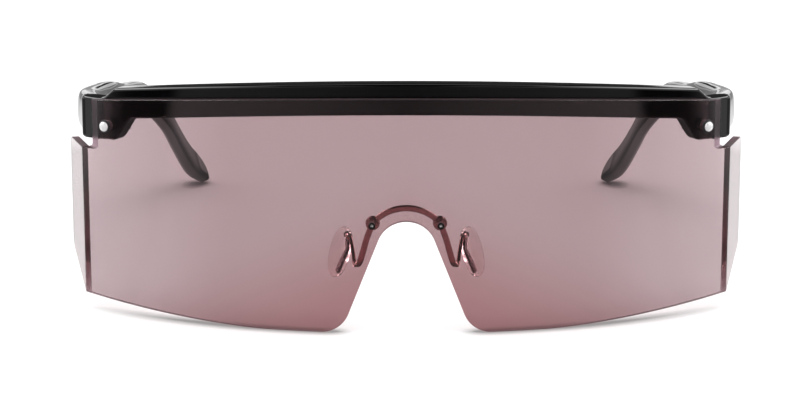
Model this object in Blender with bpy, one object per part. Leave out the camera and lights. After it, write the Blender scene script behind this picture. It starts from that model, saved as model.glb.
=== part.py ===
"""Wraparound sunglasses: one tinted shield lens with side wings, hung in front of a black brow bar, with a
metal bridge, clear nose pads and hinged temples.

X runs across the face, Y runs back along the temples and Z is up. Sizes are in metres. Every shape is
worked out from the middle of the lens, at floor level, and one empty then moves the whole to the centre
of its footprint. Left and right are the wearer's: left is at +X. Pieces that come in pairs are modelled
on the left and mirrored to the right.
"""

import math

import bmesh
import bpy
from mathutils import Matrix, Vector

# Clearances
GAP = 0.0003
FINE_GAP = 0.00015
OVERRUN = 0.001

# Shield lens: part of an upright cylinder, then a flat wing at each end
LENS_RADIUS = 0.132
LENS_THICKNESS = 0.0018
CORNER_INSET = 0.0003
LENS_HEIGHT = 0.0521
LENS_TOP_DROP = 0.0040
LENS_CORNER_RISE = 0.0037
LENS_REST_END = 0.0300
LENS_STEP = 0.0028
LENS_BOTTOM_POWER = 1.5
NOTCH_WIDTH = 0.0020
NOTCH_BELOW = 0.0017
NOTCH_FILLET = 0.0008
# The notch's wall leans out by this share of its fillet
NOTCH_SLOPE_SHARE = 0.04
NOSE_HEIGHT = 0.0250
NOSE_APEX_RADIUS = 0.0065
NOSE_CORNER_RADIUS = 0.0066
NOSE_FLANK = math.radians(68.5)
WING_LENGTH = 0.0206
WING_FLARE = math.radians(14.0)
WING_TOP_DROP = 0.0017
WING_REAR_BOTTOM = 0.0098
WING_CORNER_RADIUS = 0.0015

# Brow bar, behind the lens, with a lug and an end piece at each end
BAR_THICKNESS = 0.0040
BAR_PROUD = 0.0028
BAR_TOP_DROP = 0.0043
BAR_HEIGHT = 0.0069
BAR_BOTTOM_DROP = 0.0037
BAR_EDGE_RADIUS = 0.0007
BAR_STEP = 0.0040
SHOULDER_INSET = 0.0082
SHOULDER_RUN = 0.0038
LUG_INSET = 0.0128
LUG_RUN = 0.0054
END_DROP = 0.0041
END_HEIGHT = 0.0094
END_HALF_WIDTH = 0.0722
END_CORNER_RADIUS = 0.0025
BUTT_REACH = 0.00199

# Domed fasteners through lens, lug and hinge leaf
FASTENER_TO_HINGE = 0.0042
FASTENER_RISE = 0.0038
FASTENER_SHANK = 0.00055
DOME_RADIUS = 0.0011
DOME_HEIGHT = 0.0007
RING_RADIUS = 0.00145
RING_THICKNESS = 0.00035
LENS_HOLE_RADIUS = 0.00115
NUT_RADIUS = 0.0013
NUT_THICKNESS = 0.0011

# Hinges
HINGE_SETBACK = 0.0012
HINGE_INSET = 0.0026
KNUCKLE_RADIUS = 0.0016
KNUCKLE_HEIGHT = 0.0012
KNUCKLE_COUNT = 5
HINGE_PIN_RADIUS = 0.0006
HINGE_HEAD_RADIUS = 0.0012
HINGE_HEAD_HEIGHT = 0.0006
SLOT_WIDTH = 0.0003
SLOT_DEPTH = 0.0003
LEAF_THICKNESS = 0.0009
LEAF_HEIGHT = 0.0050
LEAF_LENGTH = 0.0078
FRONT_LEAF_REACH = 0.0022
NECK_WIDTH = 0.0012
NECK_INSET = 0.0001
LEAF_SCREW_RADIUS = 0.0004
LEAF_SCREW_HEAD = 0.0008
LEAF_SCREW_HEAD_HEIGHT = 0.0004
LEAF_SCREW_DEPTH = 0.0011
LEAF_SCREW_SHARES = (0.36, 0.78)

# Temples: the rows are shares of the sizes above them, from the hinge to the tip
TEMPLE_REACH = 0.1225
TEMPLE_RISE = 0.0003
TEMPLE_HEIGHT = 0.0088
TEMPLE_THICKNESS = 0.0040
TEMPLE_LEAN = math.radians(16.0)
TEMPLE_SIDES = 16
TEMPLE_STATIONS = 30
TEMPLE_ROUNDNESS = 3.6
TIP_SHARE = 0.045
TIP_BLUNT_SHARE = 0.03
TIP_STATIONS = 5
# reach share, centre height share, outer side share, section height share, thickness share, lean share
TEMPLE_SHARES = (
    (0.000, 1.000, 1.000, 1.000, 1.00, 0.0),
    (0.100, 0.972, 1.026, 0.980, 1.00, 0.0),
    (0.200, 0.945, 1.019, 0.930, 1.00, 0.0),
    (0.300, 0.914, 1.001, 0.880, 1.00, 0.0),
    (0.414, 0.857, 0.983, 0.740, 0.92, 0.0),
    (0.570, 0.785, 0.963, 0.700, 0.90, 0.1),
    (0.650, 0.700, 0.929, 0.740, 0.90, 0.6),
    (0.750, 0.545, 0.889, 0.880, 0.93, 0.9),
    (0.850, 0.353, 0.860, 0.930, 1.00, 1.0),
    (0.920, 0.196, 0.834, 0.950, 1.08, 1.0),
    (0.960, 0.107, 0.811, 0.930, 1.11, 1.0),
    (1.000, 0.025, 0.780, 0.870, 1.07, 1.0),
)
CORE_WIDTH = 0.0007
CORE_HEIGHT = 0.0016
CORE_OFFSET = 0.0003
CORE_START_SHARE = 0.006
CORE_END_SHARE = 0.80
CORE_STATIONS = 22

# Bridge: arch, eyelets and bent arms
EYELET_X = 0.00742
EYELET_BELOW = 0.0008
EYELET_RADIUS = 0.00153
EYELET_THICKNESS = 0.0010
BRIDGE_SHANK = 0.00042
BRIDGE_HEAD_RADIUS = 0.00082
BRIDGE_HEAD_HEIGHT = 0.0006
BRIDGE_NUT_RADIUS = 0.0010
BRIDGE_NUT_THICKNESS = 0.0008
BRIDGE_WASHER_RADIUS = 0.0014
BRIDGE_WASHER_THICKNESS = 0.0004
ARCH_ABOVE = 0.00255
ARCH_WIDTH = 0.00115
ARCH_DEPTH = 0.0009
ARM_WIDTH = 0.00112
ARM_DEPTH = 0.0007
ARM_STATIONS = 22
# Driving lengths of one arm, which its route's shares follow
ARM_SPREAD = 0.0052
ARM_REACH = 0.0069
ARM_DROP = 0.0100
# outward share, backward share, downward share, width share, depth share
ARM_SHARES = (
    (0.00, 0.000, 0.00, 1.00, 1.0),
    (0.23, 0.012, 0.32, 1.00, 1.0),
    (0.35, 0.020, 0.54, 1.00, 1.0),
    (0.45, 0.042, 0.73, 1.00, 1.0),
    (0.56, 0.140, 0.91, 0.95, 1.0),
    (0.69, 0.300, 1.00, 0.80, 1.1),
    (0.77, 0.470, 0.95, 0.60, 1.3),
    (0.83, 0.620, 0.77, 0.55, 1.5),
    (0.91, 0.790, 0.56, 0.55, 1.5),
    (0.97, 0.930, 0.45, 0.55, 1.4),
)

# Nose pads, in a frame of their own: X towards the nose, Y to the front edge, Z up the long axis
PAD_X = 0.01455
PAD_DEPTH = 0.0125
PAD_BELOW = 0.0088
PAD_TURN = math.radians(28.0)
PAD_SPLAY = math.radians(14.5)
PAD_LENGTH = 0.0116
PAD_WIDTH = 0.0070
PAD_THICKNESS = 0.0022
PAD_SIDES = 24
PIVOT_FRONT = 0.0031
PIVOT_UP = 0.0047
PIVOT_OUT = 0.0007
EYE_RADIUS = 0.00072
EYE_LENGTH = 0.0011
PAD_PIN_RADIUS = 0.00028
PAD_PIN_HEAD = 0.00055
PAD_PIN_HEAD_HEIGHT = 0.0003
TONGUE_THICKNESS = 0.00045
INSERT_WIDTH = 0.0008
INSERT_DEPTH = 0.0006
# Insert's route in the pad: front share of the pad's half width, up share of its half length
INSERT_SHARES = ((0.48, 0.60), (0.80, 0.30), (0.38, -0.66))

# Counts of sides and steps
FINE_SIDES = 16
SMALL_SIDES = 12
NUT_SIDES = 6
EDGE_STEPS = 2
CORNER_STEPS = 4
SMOOTH_ANGLE = math.radians(35.0)

# Worked out from the sizes above: places across the front, from the end pieces' width
LENS_HALF_WIDTH = END_HALF_WIDTH - CORNER_INSET
NOTCH_X = LENS_HALF_WIDTH - NOTCH_WIDTH
SHOULDER_START = END_HALF_WIDTH - SHOULDER_INSET
SHOULDER_END = SHOULDER_START + SHOULDER_RUN
LUG_START = END_HALF_WIDTH - LUG_INSET
LUG_END = LUG_START + LUG_RUN

# Heights, from the lens's height and the nose cut-out's
BAR_TOP = LENS_HEIGHT + BAR_PROUD
BAR_BOTTOM = BAR_TOP - BAR_HEIGHT
END_TOP = LENS_HEIGHT - END_DROP
END_BOTTOM = END_TOP - END_HEIGHT
NOTCH_HEIGHT = END_BOTTOM - NOTCH_BELOW
WING_REAR_TOP = NOTCH_HEIGHT - WING_TOP_DROP
FASTENER_HEIGHT = END_BOTTOM + FASTENER_RISE
EYELET_HEIGHT = NOSE_HEIGHT - EYELET_BELOW
ARCH_HEIGHT = NOSE_HEIGHT + ARCH_ABOVE
PAD_CENTRE = EYELET_HEIGHT - PAD_BELOW

# Depths, from the front's radius
LENS_BACK = LENS_RADIUS - LENS_THICKNESS
BAR_FRONT = LENS_BACK - GAP
BAR_BACK = BAR_FRONT - BAR_THICKNESS
BUTT_DEPTH = LENS_RADIUS - math.sqrt(BAR_FRONT ** 2 - END_HALF_WIDTH ** 2) + BUTT_REACH
BRIDGE_ANGLE = math.asin(EYELET_X / LENS_RADIUS)
LENS_CORNER_ANGLE = math.asin(LENS_HALF_WIDTH / LENS_RADIUS)
HINGE_HEIGHT = (END_TOP + END_BOTTOM) / 2
TEMPLE_CENTRE = HINGE_HEIGHT + TEMPLE_RISE
HINGE_X = END_HALF_WIDTH - TEMPLE_THICKNESS - HINGE_INSET
HINGE_Y = BUTT_DEPTH + HINGE_SETBACK
HINGE_ANGLE = math.atan2(HINGE_X, LENS_RADIUS - HINGE_Y)
HINGE_DISTANCE = math.hypot(HINGE_X, LENS_RADIUS - HINGE_Y)
FASTENER_ANGLE = HINGE_ANGLE - math.asin(FASTENER_TO_HINGE / HINGE_DISTANCE)
TEMPLE_START = BUTT_DEPTH + GAP
TEMPLE_END = TEMPLE_START + TEMPLE_REACH
WASHER_FRONT = LENS_BACK - FINE_GAP
EYELET_FRONT = WASHER_FRONT - BRIDGE_WASHER_THICKNESS - FINE_GAP
EYELET_MIDDLE = EYELET_FRONT - EYELET_THICKNESS / 2
BRIDGE_HEAD_FRONT = LENS_RADIUS + FINE_GAP + BRIDGE_HEAD_HEIGHT
HEAD_LEAN = BRIDGE_HEAD_RADIUS * math.sin(BRIDGE_ANGLE)
FRONT_MOST = LENS_RADIUS - BRIDGE_HEAD_FRONT * math.cos(BRIDGE_ANGLE) - HEAD_LEAN
KNUCKLE_PITCH = KNUCKLE_HEIGHT + GAP
UP = Vector((0.0, 0.0, 1.0))


def clear_scene():
    for old in list(bpy.data.objects):
        bpy.data.objects.remove(old, do_unlink=True)


def spread(low, high, count):
    """Evenly spaced values from low to high, both included."""
    return [low + (high - low) * index / count for index in range(count + 1)]


def smooth_step(low, high, value):
    share = min(max((value - low) / (high - low), 0.0), 1.0)
    return share * share * (3.0 - 2.0 * share)


def arc_drop(radius, run):
    """How far a circle has dropped below its top at a run from it."""
    return radius - math.sqrt(max(radius ** 2 - run ** 2, 0.0))


def curve_through(rows, where):
    """Read a smooth curve through rows of numbers at a place given in the rows' first column."""
    index = 0
    while index < len(rows) - 2 and where > rows[index + 1][0]:
        index += 1

    def slope(at, column):
        before = rows[max(at - 1, 0)]
        after = rows[min(at + 1, len(rows) - 1)]
        return (after[column] - before[column]) / (after[0] - before[0])

    start = rows[index]
    end = rows[index + 1]
    span = end[0] - start[0]
    t = (where - start[0]) / span
    values = []
    for column in range(1, len(start)):
        rise = end[column] - start[column]
        first = slope(index, column) * span
        last = slope(index + 1, column) * span
        bend = (3.0 * rise - 2.0 * first - last) * t ** 2 + (first + last - 2.0 * rise) * t ** 3
        values.append(start[column] + first * t + bend)
    return values


# Meshes

def mesh_from(bm):
    bmesh.ops.recalc_face_normals(bm, faces=bm.faces)
    mesh = bpy.data.meshes.new("shape")
    bm.to_mesh(mesh)
    bm.free()
    return mesh


def skin(rings, closed=False):
    """A solid skinned over a row of rings: its ends are capped, or joined into a tube when closed."""
    bm = bmesh.new()
    rows = [[bm.verts.new(point) for point in ring] for ring in rings]
    pairs = list(zip(rows, rows[1:]))
    if closed:
        pairs.append((rows[-1], rows[0]))
    else:
        bm.faces.new(rows[0])
        bm.faces.new(rows[-1])
    for near, far in pairs:
        for index in range(len(near)):
            after = (index + 1) % len(near)
            bm.faces.new((near[index], near[after], far[after], far[index]))
    return mesh_from(bm)


def turned(frame, profile, sides, closed=False):
    """A turned solid about a frame's Z axis, from (radius, place along the axis) points."""
    rings = []
    for radius, along in profile:
        ring = []
        for index in range(sides):
            angle = 2.0 * math.pi * (index + 0.5) / sides
            ring.append(frame @ Vector((radius * math.cos(angle), radius * math.sin(angle), along)))
        rings.append(ring)
    return skin(rings, closed)


def rod(frame, radius, low, high, sides=FINE_SIDES):
    return turned(frame, ((radius, low), (radius, high)), sides)


def washer(frame, outer, inner, low, high, sides=FINE_SIDES):
    return turned(frame, ((inner, low), (outer, low), (outer, high), (inner, high)), sides, closed=True)


def block(frame, low, high):
    """A box between two corners of a frame."""
    size = [far - near for near, far in zip(low, high)]
    middle = [(far + near) / 2 for near, far in zip(low, high)]
    bm = bmesh.new()
    matrix = frame @ Matrix.Translation(middle) @ Matrix.Diagonal((*size, 1.0))
    bmesh.ops.create_cube(bm, size=1.0, matrix=matrix)
    return mesh_from(bm)


def combine(mesh, operation, tools):
    """Join tools to a mesh, or cut them from it, one after the other."""
    collection = bpy.context.scene.collection
    base = bpy.data.objects.new("base", mesh)
    collection.objects.link(base)
    helpers = []
    for tool in tools:
        helper = bpy.data.objects.new("tool", tool)
        collection.objects.link(helper)
        helpers.append(helper)
        modifier = base.modifiers.new("combine", "BOOLEAN")
        modifier.operation = operation
        modifier.object = helper
    depsgraph = bpy.context.evaluated_depsgraph_get()
    result = bpy.data.meshes.new_from_object(base.evaluated_get(depsgraph))
    for used in [base] + helpers:
        bpy.data.objects.remove(used, do_unlink=True)
    return result


def rounded_section(front, back, low, high, radius):
    """A section with rounded corners, upright on the line from front to back."""
    across = back - front
    width = across.length
    across = across.normalized()
    corners = (
        (radius, low + radius, math.pi),
        (width - radius, low + radius, 1.5 * math.pi),
        (width - radius, high - radius, 0.0),
        (radius, high - radius, 0.5 * math.pi),
    )
    ring = []
    for side, height, start in corners:
        for turn in spread(start, start + math.pi / 2, EDGE_STEPS):
            reach = side + radius * math.cos(turn)
            ring.append(front + across * reach + UP * (height + radius * math.sin(turn)))
    return ring


# Frames

def arc_place(radius, angle, height=0.0):
    """A place on the front's curve, at a radius from its upright axis and an angle from the middle."""
    return Vector((radius * math.sin(angle), LENS_RADIUS - radius * math.cos(angle), height))


def frame_from(origin, x_axis, y_axis, z_axis):
    matrix = Matrix((x_axis, y_axis, z_axis)).transposed().to_4x4()
    matrix.translation = origin
    return matrix


def front_frame(angle, height):
    """A frame on the front curve's upright axis, whose Z points out through the lens at an angle."""
    across = Vector((math.cos(angle), math.sin(angle), 0.0))
    outward = Vector((math.sin(angle), -math.cos(angle), 0.0))
    return frame_from(Vector((0.0, LENS_RADIUS, height)), across, UP, outward)


def upright_frame(x, y, height=0.0):
    return Matrix.Translation((x, y, height))


def pad_frame():
    """The left nose pad's frame: X towards the nose, Y to its front edge, Z up its long axis."""
    place = Matrix.Translation((PAD_X, PAD_DEPTH, PAD_CENTRE))
    return place @ Matrix.Rotation(-PAD_SPLAY, 4, "Y") @ Matrix.Rotation(math.pi - PAD_TURN, 4, "Z")


def pad_pivot():
    return pad_frame() @ Vector((-PIVOT_OUT, PIVOT_FRONT, PIVOT_UP))


def pivot_frame():
    """A frame at the left pad's pin, whose Z runs along the pin to the pad's front edge."""
    frame = pad_frame() @ Matrix.Rotation(-math.pi / 2, 4, "X")
    frame.translation = pad_pivot()
    return frame


# Shield lens

APEX_END_X = NOSE_APEX_RADIUS * math.sin(NOSE_FLANK)
APEX_END_Z = NOSE_HEIGHT - NOSE_APEX_RADIUS * (1.0 - math.cos(NOSE_FLANK))
FLANK_FOOT_X = APEX_END_X + APEX_END_Z / math.tan(NOSE_FLANK)
CORNER_RUN = NOSE_CORNER_RADIUS * math.tan(NOSE_FLANK / 2)
CORNER_START_X = FLANK_FOOT_X - CORNER_RUN * math.cos(NOSE_FLANK)
CORNER_END_X = FLANK_FOOT_X + CORNER_RUN


def lens_bottom(x):
    """Height of the lens's lower edge: nose arc, flank, corner, rest on the floor, rise to the wing."""
    if x < APEX_END_X:
        return NOSE_HEIGHT - arc_drop(NOSE_APEX_RADIUS, x)
    if x < CORNER_START_X:
        return (FLANK_FOOT_X - x) * math.tan(NOSE_FLANK)
    if x < CORNER_END_X:
        return arc_drop(NOSE_CORNER_RADIUS, CORNER_END_X - x)
    share = max(x - LENS_REST_END, 0.0) / (LENS_HALF_WIDTH - LENS_REST_END)
    return LENS_CORNER_RISE * share ** LENS_BOTTOM_POWER


def lens_top(x):
    """Height of the lens's upper edge: a shallow arch, then the notch with its rounded inner corner."""
    if x <= NOTCH_X:
        return LENS_HEIGHT - LENS_TOP_DROP * (x / NOTCH_X) ** 2
    run = max(NOTCH_X + NOTCH_FILLET - x, 0.0)
    return NOTCH_HEIGHT + arc_drop(NOTCH_FILLET, run)


def lens_stations():
    """Places across half the front where the lens's outline is read."""
    apex = [NOSE_APEX_RADIUS * math.sin(turn) for turn in spread(0.0, NOSE_FLANK, 7)]
    flank = spread(APEX_END_X, CORNER_START_X, 3)[1:]
    turns = spread(NOSE_FLANK, 0.0, 6)[1:]
    corner = [CORNER_END_X - NOSE_CORNER_RADIUS * math.sin(turn) for turn in turns]
    rest = spread(CORNER_END_X, LENS_REST_END, 4)[1:]
    rise = spread(LENS_REST_END, NOTCH_X, round((NOTCH_X - LENS_REST_END) / LENS_STEP))[1:]
    turns = spread(math.pi / 2, 0.0, CORNER_STEPS)
    fillet = [NOTCH_X + NOTCH_FILLET * (1.0 - math.sin(turn)) for turn in turns]
    fillet[0] = NOTCH_X + NOTCH_FILLET * NOTCH_SLOPE_SHARE
    return apex + flank + corner + rest + rise + fillet


def lens_ring(front, back, low, high):
    return [front + UP * low, front + UP * high, back + UP * high, back + UP * low]


def wing_direction():
    return Vector((math.sin(WING_FLARE), math.cos(WING_FLARE), 0.0))


def lens_corner():
    """Outer and inner points of the sharp corner between lens front and wing."""
    outer = arc_place(LENS_RADIUS, LENS_CORNER_ANGLE)
    front_inward = Vector((-math.sin(LENS_CORNER_ANGLE), math.cos(LENS_CORNER_ANGLE), 0.0))
    wing_inward = Vector((-math.cos(WING_FLARE), math.sin(WING_FLARE), 0.0))
    mitre = (front_inward + wing_inward) / (1.0 + front_inward.dot(wing_inward))
    return outer, outer + mitre * LENS_THICKNESS, wing_inward


def half_lens_rings():
    """Rings of the left half of the lens, from the middle to the wing's rear edge."""
    rings = []
    for x in lens_stations():
        angle = math.asin(x / LENS_RADIUS)
        front = arc_place(LENS_RADIUS, angle)
        back = arc_place(LENS_BACK, angle)
        rings.append(lens_ring(front, back, lens_bottom(x), lens_top(x)))
    outer, inner, wing_inward = lens_corner()
    rings.append(lens_ring(outer, inner, LENS_CORNER_RISE, NOTCH_HEIGHT))
    corner_start = WING_LENGTH - WING_CORNER_RADIUS
    along = spread(0.0, corner_start, 5)[1:]
    turns = spread(0.0, math.pi / 2, CORNER_STEPS)[1:]
    along += [corner_start + WING_CORNER_RADIUS * math.sin(turn) for turn in turns]
    for reach in along:
        share = reach / WING_LENGTH
        past = max(reach - corner_start, 0.0)
        trim = arc_drop(WING_CORNER_RADIUS, past)
        low = LENS_CORNER_RISE + (WING_REAR_BOTTOM - LENS_CORNER_RISE) * share + trim
        high = NOTCH_HEIGHT + (WING_REAR_TOP - NOTCH_HEIGHT) * share - trim
        front = outer + wing_direction() * reach
        rings.append(lens_ring(front, front + wing_inward * LENS_THICKNESS, low, high))
    return rings


def both_halves(rings):
    """Rings of the whole, from the rings of the left half: the first one is at the middle."""
    mirrored = [[Vector((-point.x, point.y, point.z)) for point in ring] for ring in rings[:0:-1]]
    return mirrored + rings


def build_lens():
    mesh = skin(both_halves(half_lens_rings()))
    holes = []
    for side in (1, -1):
        fastener = front_frame(side * FASTENER_ANGLE, FASTENER_HEIGHT)
        eyelet = front_frame(side * BRIDGE_ANGLE, EYELET_HEIGHT)
        low = LENS_BACK - OVERRUN
        high = LENS_RADIUS + OVERRUN
        holes.append(rod(fastener, LENS_HOLE_RADIUS, low, high))
        holes.append(rod(eyelet, BRIDGE_SHANK + FINE_GAP, low, high, SMALL_SIDES))
    return combine(mesh, "DIFFERENCE", holes)


# Brow bar

def bar_top(x):
    arch = BAR_TOP - BAR_TOP_DROP * (x / SHOULDER_START) ** 2
    return arch + (END_TOP - arch) * smooth_step(SHOULDER_START, SHOULDER_END, x)


def bar_bottom(x):
    arch = BAR_BOTTOM - BAR_BOTTOM_DROP * (x / LUG_START) ** 2
    return arch + (END_BOTTOM - arch) * smooth_step(LUG_START, LUG_END, x)


def end_corner():
    """Start angle on the front's curve, and centre, of the round corner at the end piece's side."""
    centre_x = END_HALF_WIDTH - END_CORNER_RADIUS
    inner_radius = BAR_FRONT - END_CORNER_RADIUS
    angle = math.asin(centre_x / inner_radius)
    return angle, arc_place(inner_radius, angle)


def half_bar_places():
    """Front and back points in plan, with the outline's place, from the middle to the butt face."""
    start, centre = end_corner()
    start_x = BAR_FRONT * math.sin(start)
    fast = round((SHOULDER_END - LUG_START) / (BAR_STEP / 4))
    plain = spread(0.0, LUG_START, round(LUG_START / BAR_STEP))
    lug = spread(LUG_START, SHOULDER_END, fast)[1:]
    places = []
    for x in plain + lug:
        angle = math.asin(x / BAR_FRONT)
        places.append((arc_place(BAR_FRONT, angle), arc_place(BAR_BACK, angle), x))
    last = math.asin(SHOULDER_END / BAR_FRONT)
    butt = math.acos((LENS_RADIUS - BUTT_DEPTH) / BAR_BACK)
    fronts = [arc_place(BAR_FRONT, angle) for angle in spread(last, start, 3)[1:]]
    for turn in spread(start, math.pi / 2, CORNER_STEPS)[1:]:
        reach = Vector((math.sin(turn), -math.cos(turn), 0.0)) * END_CORNER_RADIUS
        fronts.append(centre + reach)
    fronts.append(Vector((END_HALF_WIDTH, BUTT_DEPTH, 0.0)))
    for index, front in enumerate(fronts):
        angle = last + (butt - last) * (index + 1) / len(fronts)
        places.append((front, arc_place(BAR_BACK, angle), start_x))
    return places


def build_brow_bar():
    rings = []
    for front, back, x in half_bar_places():
        rings.append(rounded_section(front, back, bar_bottom(x), bar_top(x), BAR_EDGE_RADIUS))
    mesh = skin(both_halves(rings))
    holes = []
    for side in (1, -1):
        frame = front_frame(side * FASTENER_ANGLE, FASTENER_HEIGHT)
        holes.append(rod(frame, FASTENER_SHANK + FINE_GAP, BAR_BACK - OVERRUN, BAR_FRONT + OVERRUN))
    return combine(mesh, "DIFFERENCE", holes)


# Fasteners of the lens

NUT_FRONT = BAR_BACK - FINE_GAP - LEAF_THICKNESS - FINE_GAP


def build_lens_screw():
    """A domed head in front of the lens, with a shank that reaches through the nut."""
    frame = front_frame(FASTENER_ANGLE, FASTENER_HEIGHT)
    seat = LENS_RADIUS + FINE_GAP + RING_THICKNESS + FINE_GAP
    profile = [(FASTENER_SHANK, NUT_FRONT - NUT_THICKNESS), (FASTENER_SHANK, seat), (DOME_RADIUS, seat)]
    for turn in spread(0.0, math.pi / 2, 5)[1:-1]:
        profile.append((DOME_RADIUS * math.cos(turn), seat + DOME_HEIGHT * math.sin(turn)))
    return turned(frame, profile, FINE_SIDES)


def build_lens_washer():
    frame = front_frame(FASTENER_ANGLE, FASTENER_HEIGHT)
    low = LENS_RADIUS + FINE_GAP
    return washer(frame, RING_RADIUS, FASTENER_SHANK + FINE_GAP, low, low + RING_THICKNESS)


def build_lens_bushing():
    frame = front_frame(FASTENER_ANGLE, FASTENER_HEIGHT)
    outer = LENS_HOLE_RADIUS - FINE_GAP
    return washer(frame, outer, FASTENER_SHANK + FINE_GAP, LENS_BACK, LENS_RADIUS)


def build_lens_nut():
    frame = front_frame(FASTENER_ANGLE, FASTENER_HEIGHT)
    inner = FASTENER_SHANK + FINE_GAP
    return washer(frame, NUT_RADIUS, inner, NUT_FRONT - NUT_THICKNESS, NUT_FRONT, NUT_SIDES)


# Hinges

def knuckle_heights(first):
    """Bottom and top of every second knuckle, from the first one named."""
    low = HINGE_HEIGHT - (KNUCKLE_COUNT * KNUCKLE_PITCH - GAP) / 2
    places = []
    for index in range(first, KNUCKLE_COUNT, 2):
        bottom = low + index * KNUCKLE_PITCH
        places.append((bottom, bottom + KNUCKLE_HEIGHT))
    return places


def pin_bore():
    reach = KNUCKLE_COUNT * KNUCKLE_PITCH
    frame = upright_frame(HINGE_X, HINGE_Y, HINGE_HEIGHT)
    return rod(frame, HINGE_PIN_RADIUS + FINE_GAP, -reach, reach)


def build_front_leaf():
    """A plate behind the lug with three knuckles, bored for the hinge pin and the lens fastener."""
    from_axis = Vector((HINGE_X, HINGE_Y - LENS_RADIUS, 0.0))
    hinge_angle = math.atan2(HINGE_X, LENS_RADIUS - HINGE_Y)
    plate_front = BAR_BACK - FINE_GAP
    plate_back = plate_front - LEAF_THICKNESS
    rise = plate_back - from_axis.length
    clear = KNUCKLE_RADIUS + GAP
    run = math.sqrt(max(clear ** 2 - rise ** 2, 0.0))
    last = hinge_angle - run / plate_back
    first = FASTENER_ANGLE - FRONT_LEAF_REACH / plate_back
    low = HINGE_HEIGHT - LEAF_HEIGHT / 2
    high = HINGE_HEIGHT + LEAF_HEIGHT / 2
    rings = []
    for angle in spread(first, last, 3):
        rings.append(lens_ring(arc_place(plate_front, angle), arc_place(plate_back, angle), low, high))
    neck_frame = front_frame(hinge_angle, 0.0)
    tools = []
    for bottom, top in knuckle_heights(0):
        tools.append(rod(upright_frame(HINGE_X, HINGE_Y), KNUCKLE_RADIUS, bottom, top))
        near = (-run - NECK_WIDTH, bottom + NECK_INSET, from_axis.length)
        tools.append(block(neck_frame, near, (0.0, top - NECK_INSET, plate_front - NECK_INSET)))
    mesh = combine(skin(rings), "UNION", tools)
    fastener = front_frame(FASTENER_ANGLE, FASTENER_HEIGHT)
    hole = rod(fastener, FASTENER_SHANK + FINE_GAP, plate_back - OVERRUN, plate_front + OVERRUN)
    return combine(mesh, "DIFFERENCE", [pin_bore(), hole])


def leaf_frame():
    """A frame on the left temple's inner face at the hinge: X along the temple, Y outwards, Z up."""
    near = temple_inner_point(TEMPLE_START)
    far = temple_inner_point(HINGE_Y + LEAF_LENGTH)
    along = (far - near).normalized()
    outward = Vector((along.y, -along.x, 0.0))
    place = near + along * (HINGE_Y - TEMPLE_START)
    return frame_from(Vector((place.x, place.y, HINGE_HEIGHT)), along, outward, UP)


def temple_inner_point(y):
    """A point of the inner face in plan, at a distance back."""
    share = (y - TEMPLE_START) / TEMPLE_REACH
    height, side, tall, thick, lean = curve_through(TEMPLE_SHARES, share)
    return Vector((END_HALF_WIDTH * side - TEMPLE_THICKNESS * thick, y, 0.0))


def build_temple_leaf():
    """A plate on the temple's inner face with two knuckles, bored for the pin and its two screws."""
    frame = leaf_frame()
    half = LEAF_HEIGHT / 2
    pin = frame.inverted() @ Vector((HINGE_X, HINGE_Y, HINGE_HEIGHT))
    inside = -FINE_GAP - LEAF_THICKNESS
    clear = KNUCKLE_RADIUS + GAP
    start = pin.x + math.sqrt(max(clear ** 2 - (inside - pin.y) ** 2, 0.0))
    plate = block(frame, (start, inside, -half), (LEAF_LENGTH, -FINE_GAP, half))
    tools = []
    for bottom, top in knuckle_heights(1):
        tools.append(rod(upright_frame(HINGE_X, HINGE_Y), KNUCKLE_RADIUS, bottom, top))
        near = (pin.x, pin.y, bottom + NECK_INSET - HINGE_HEIGHT)
        far = (start + NECK_WIDTH, -FINE_GAP - NECK_INSET, top - NECK_INSET - HINGE_HEIGHT)
        tools.append(block(frame, near, far))
    mesh = combine(plate, "UNION", tools)
    holes = [pin_bore()]
    for share in LEAF_SCREW_SHARES:
        screw = leaf_screw_frame(share)
        reach = LEAF_THICKNESS + OVERRUN
        holes.append(rod(screw, LEAF_SCREW_RADIUS + FINE_GAP, -reach, reach, SMALL_SIDES))
    return combine(mesh, "DIFFERENCE", holes)


def leaf_screw_frame(share):
    """A frame at a leaf screw, on the leaf's inner side, whose Z points into the temple."""
    frame = leaf_frame()
    place = frame @ Vector((LEAF_LENGTH * share, -FINE_GAP - LEAF_THICKNESS, 0.0))
    along = frame.col[0].to_3d()
    outward = frame.col[1].to_3d()
    return frame_from(place, UP, along, outward)


def build_leaf_screw(share):
    """A slotted head on the leaf, with a short shank into the temple."""
    frame = leaf_screw_frame(share)
    depth = LEAF_THICKNESS + FINE_GAP + LEAF_SCREW_DEPTH
    top = -FINE_GAP - LEAF_SCREW_HEAD_HEIGHT
    profile = (
        (LEAF_SCREW_HEAD, top),
        (LEAF_SCREW_HEAD, -FINE_GAP),
        (LEAF_SCREW_RADIUS, -FINE_GAP),
        (LEAF_SCREW_RADIUS, depth),
    )
    reach = LEAF_SCREW_HEAD + OVERRUN
    slot_depth = LEAF_SCREW_HEAD_HEIGHT / 2
    slot = block(frame, (-reach, -SLOT_WIDTH / 2, top - OVERRUN), (reach, SLOT_WIDTH / 2, top + slot_depth))
    return combine(turned(frame, profile, SMALL_SIDES), "DIFFERENCE", [slot])


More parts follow.
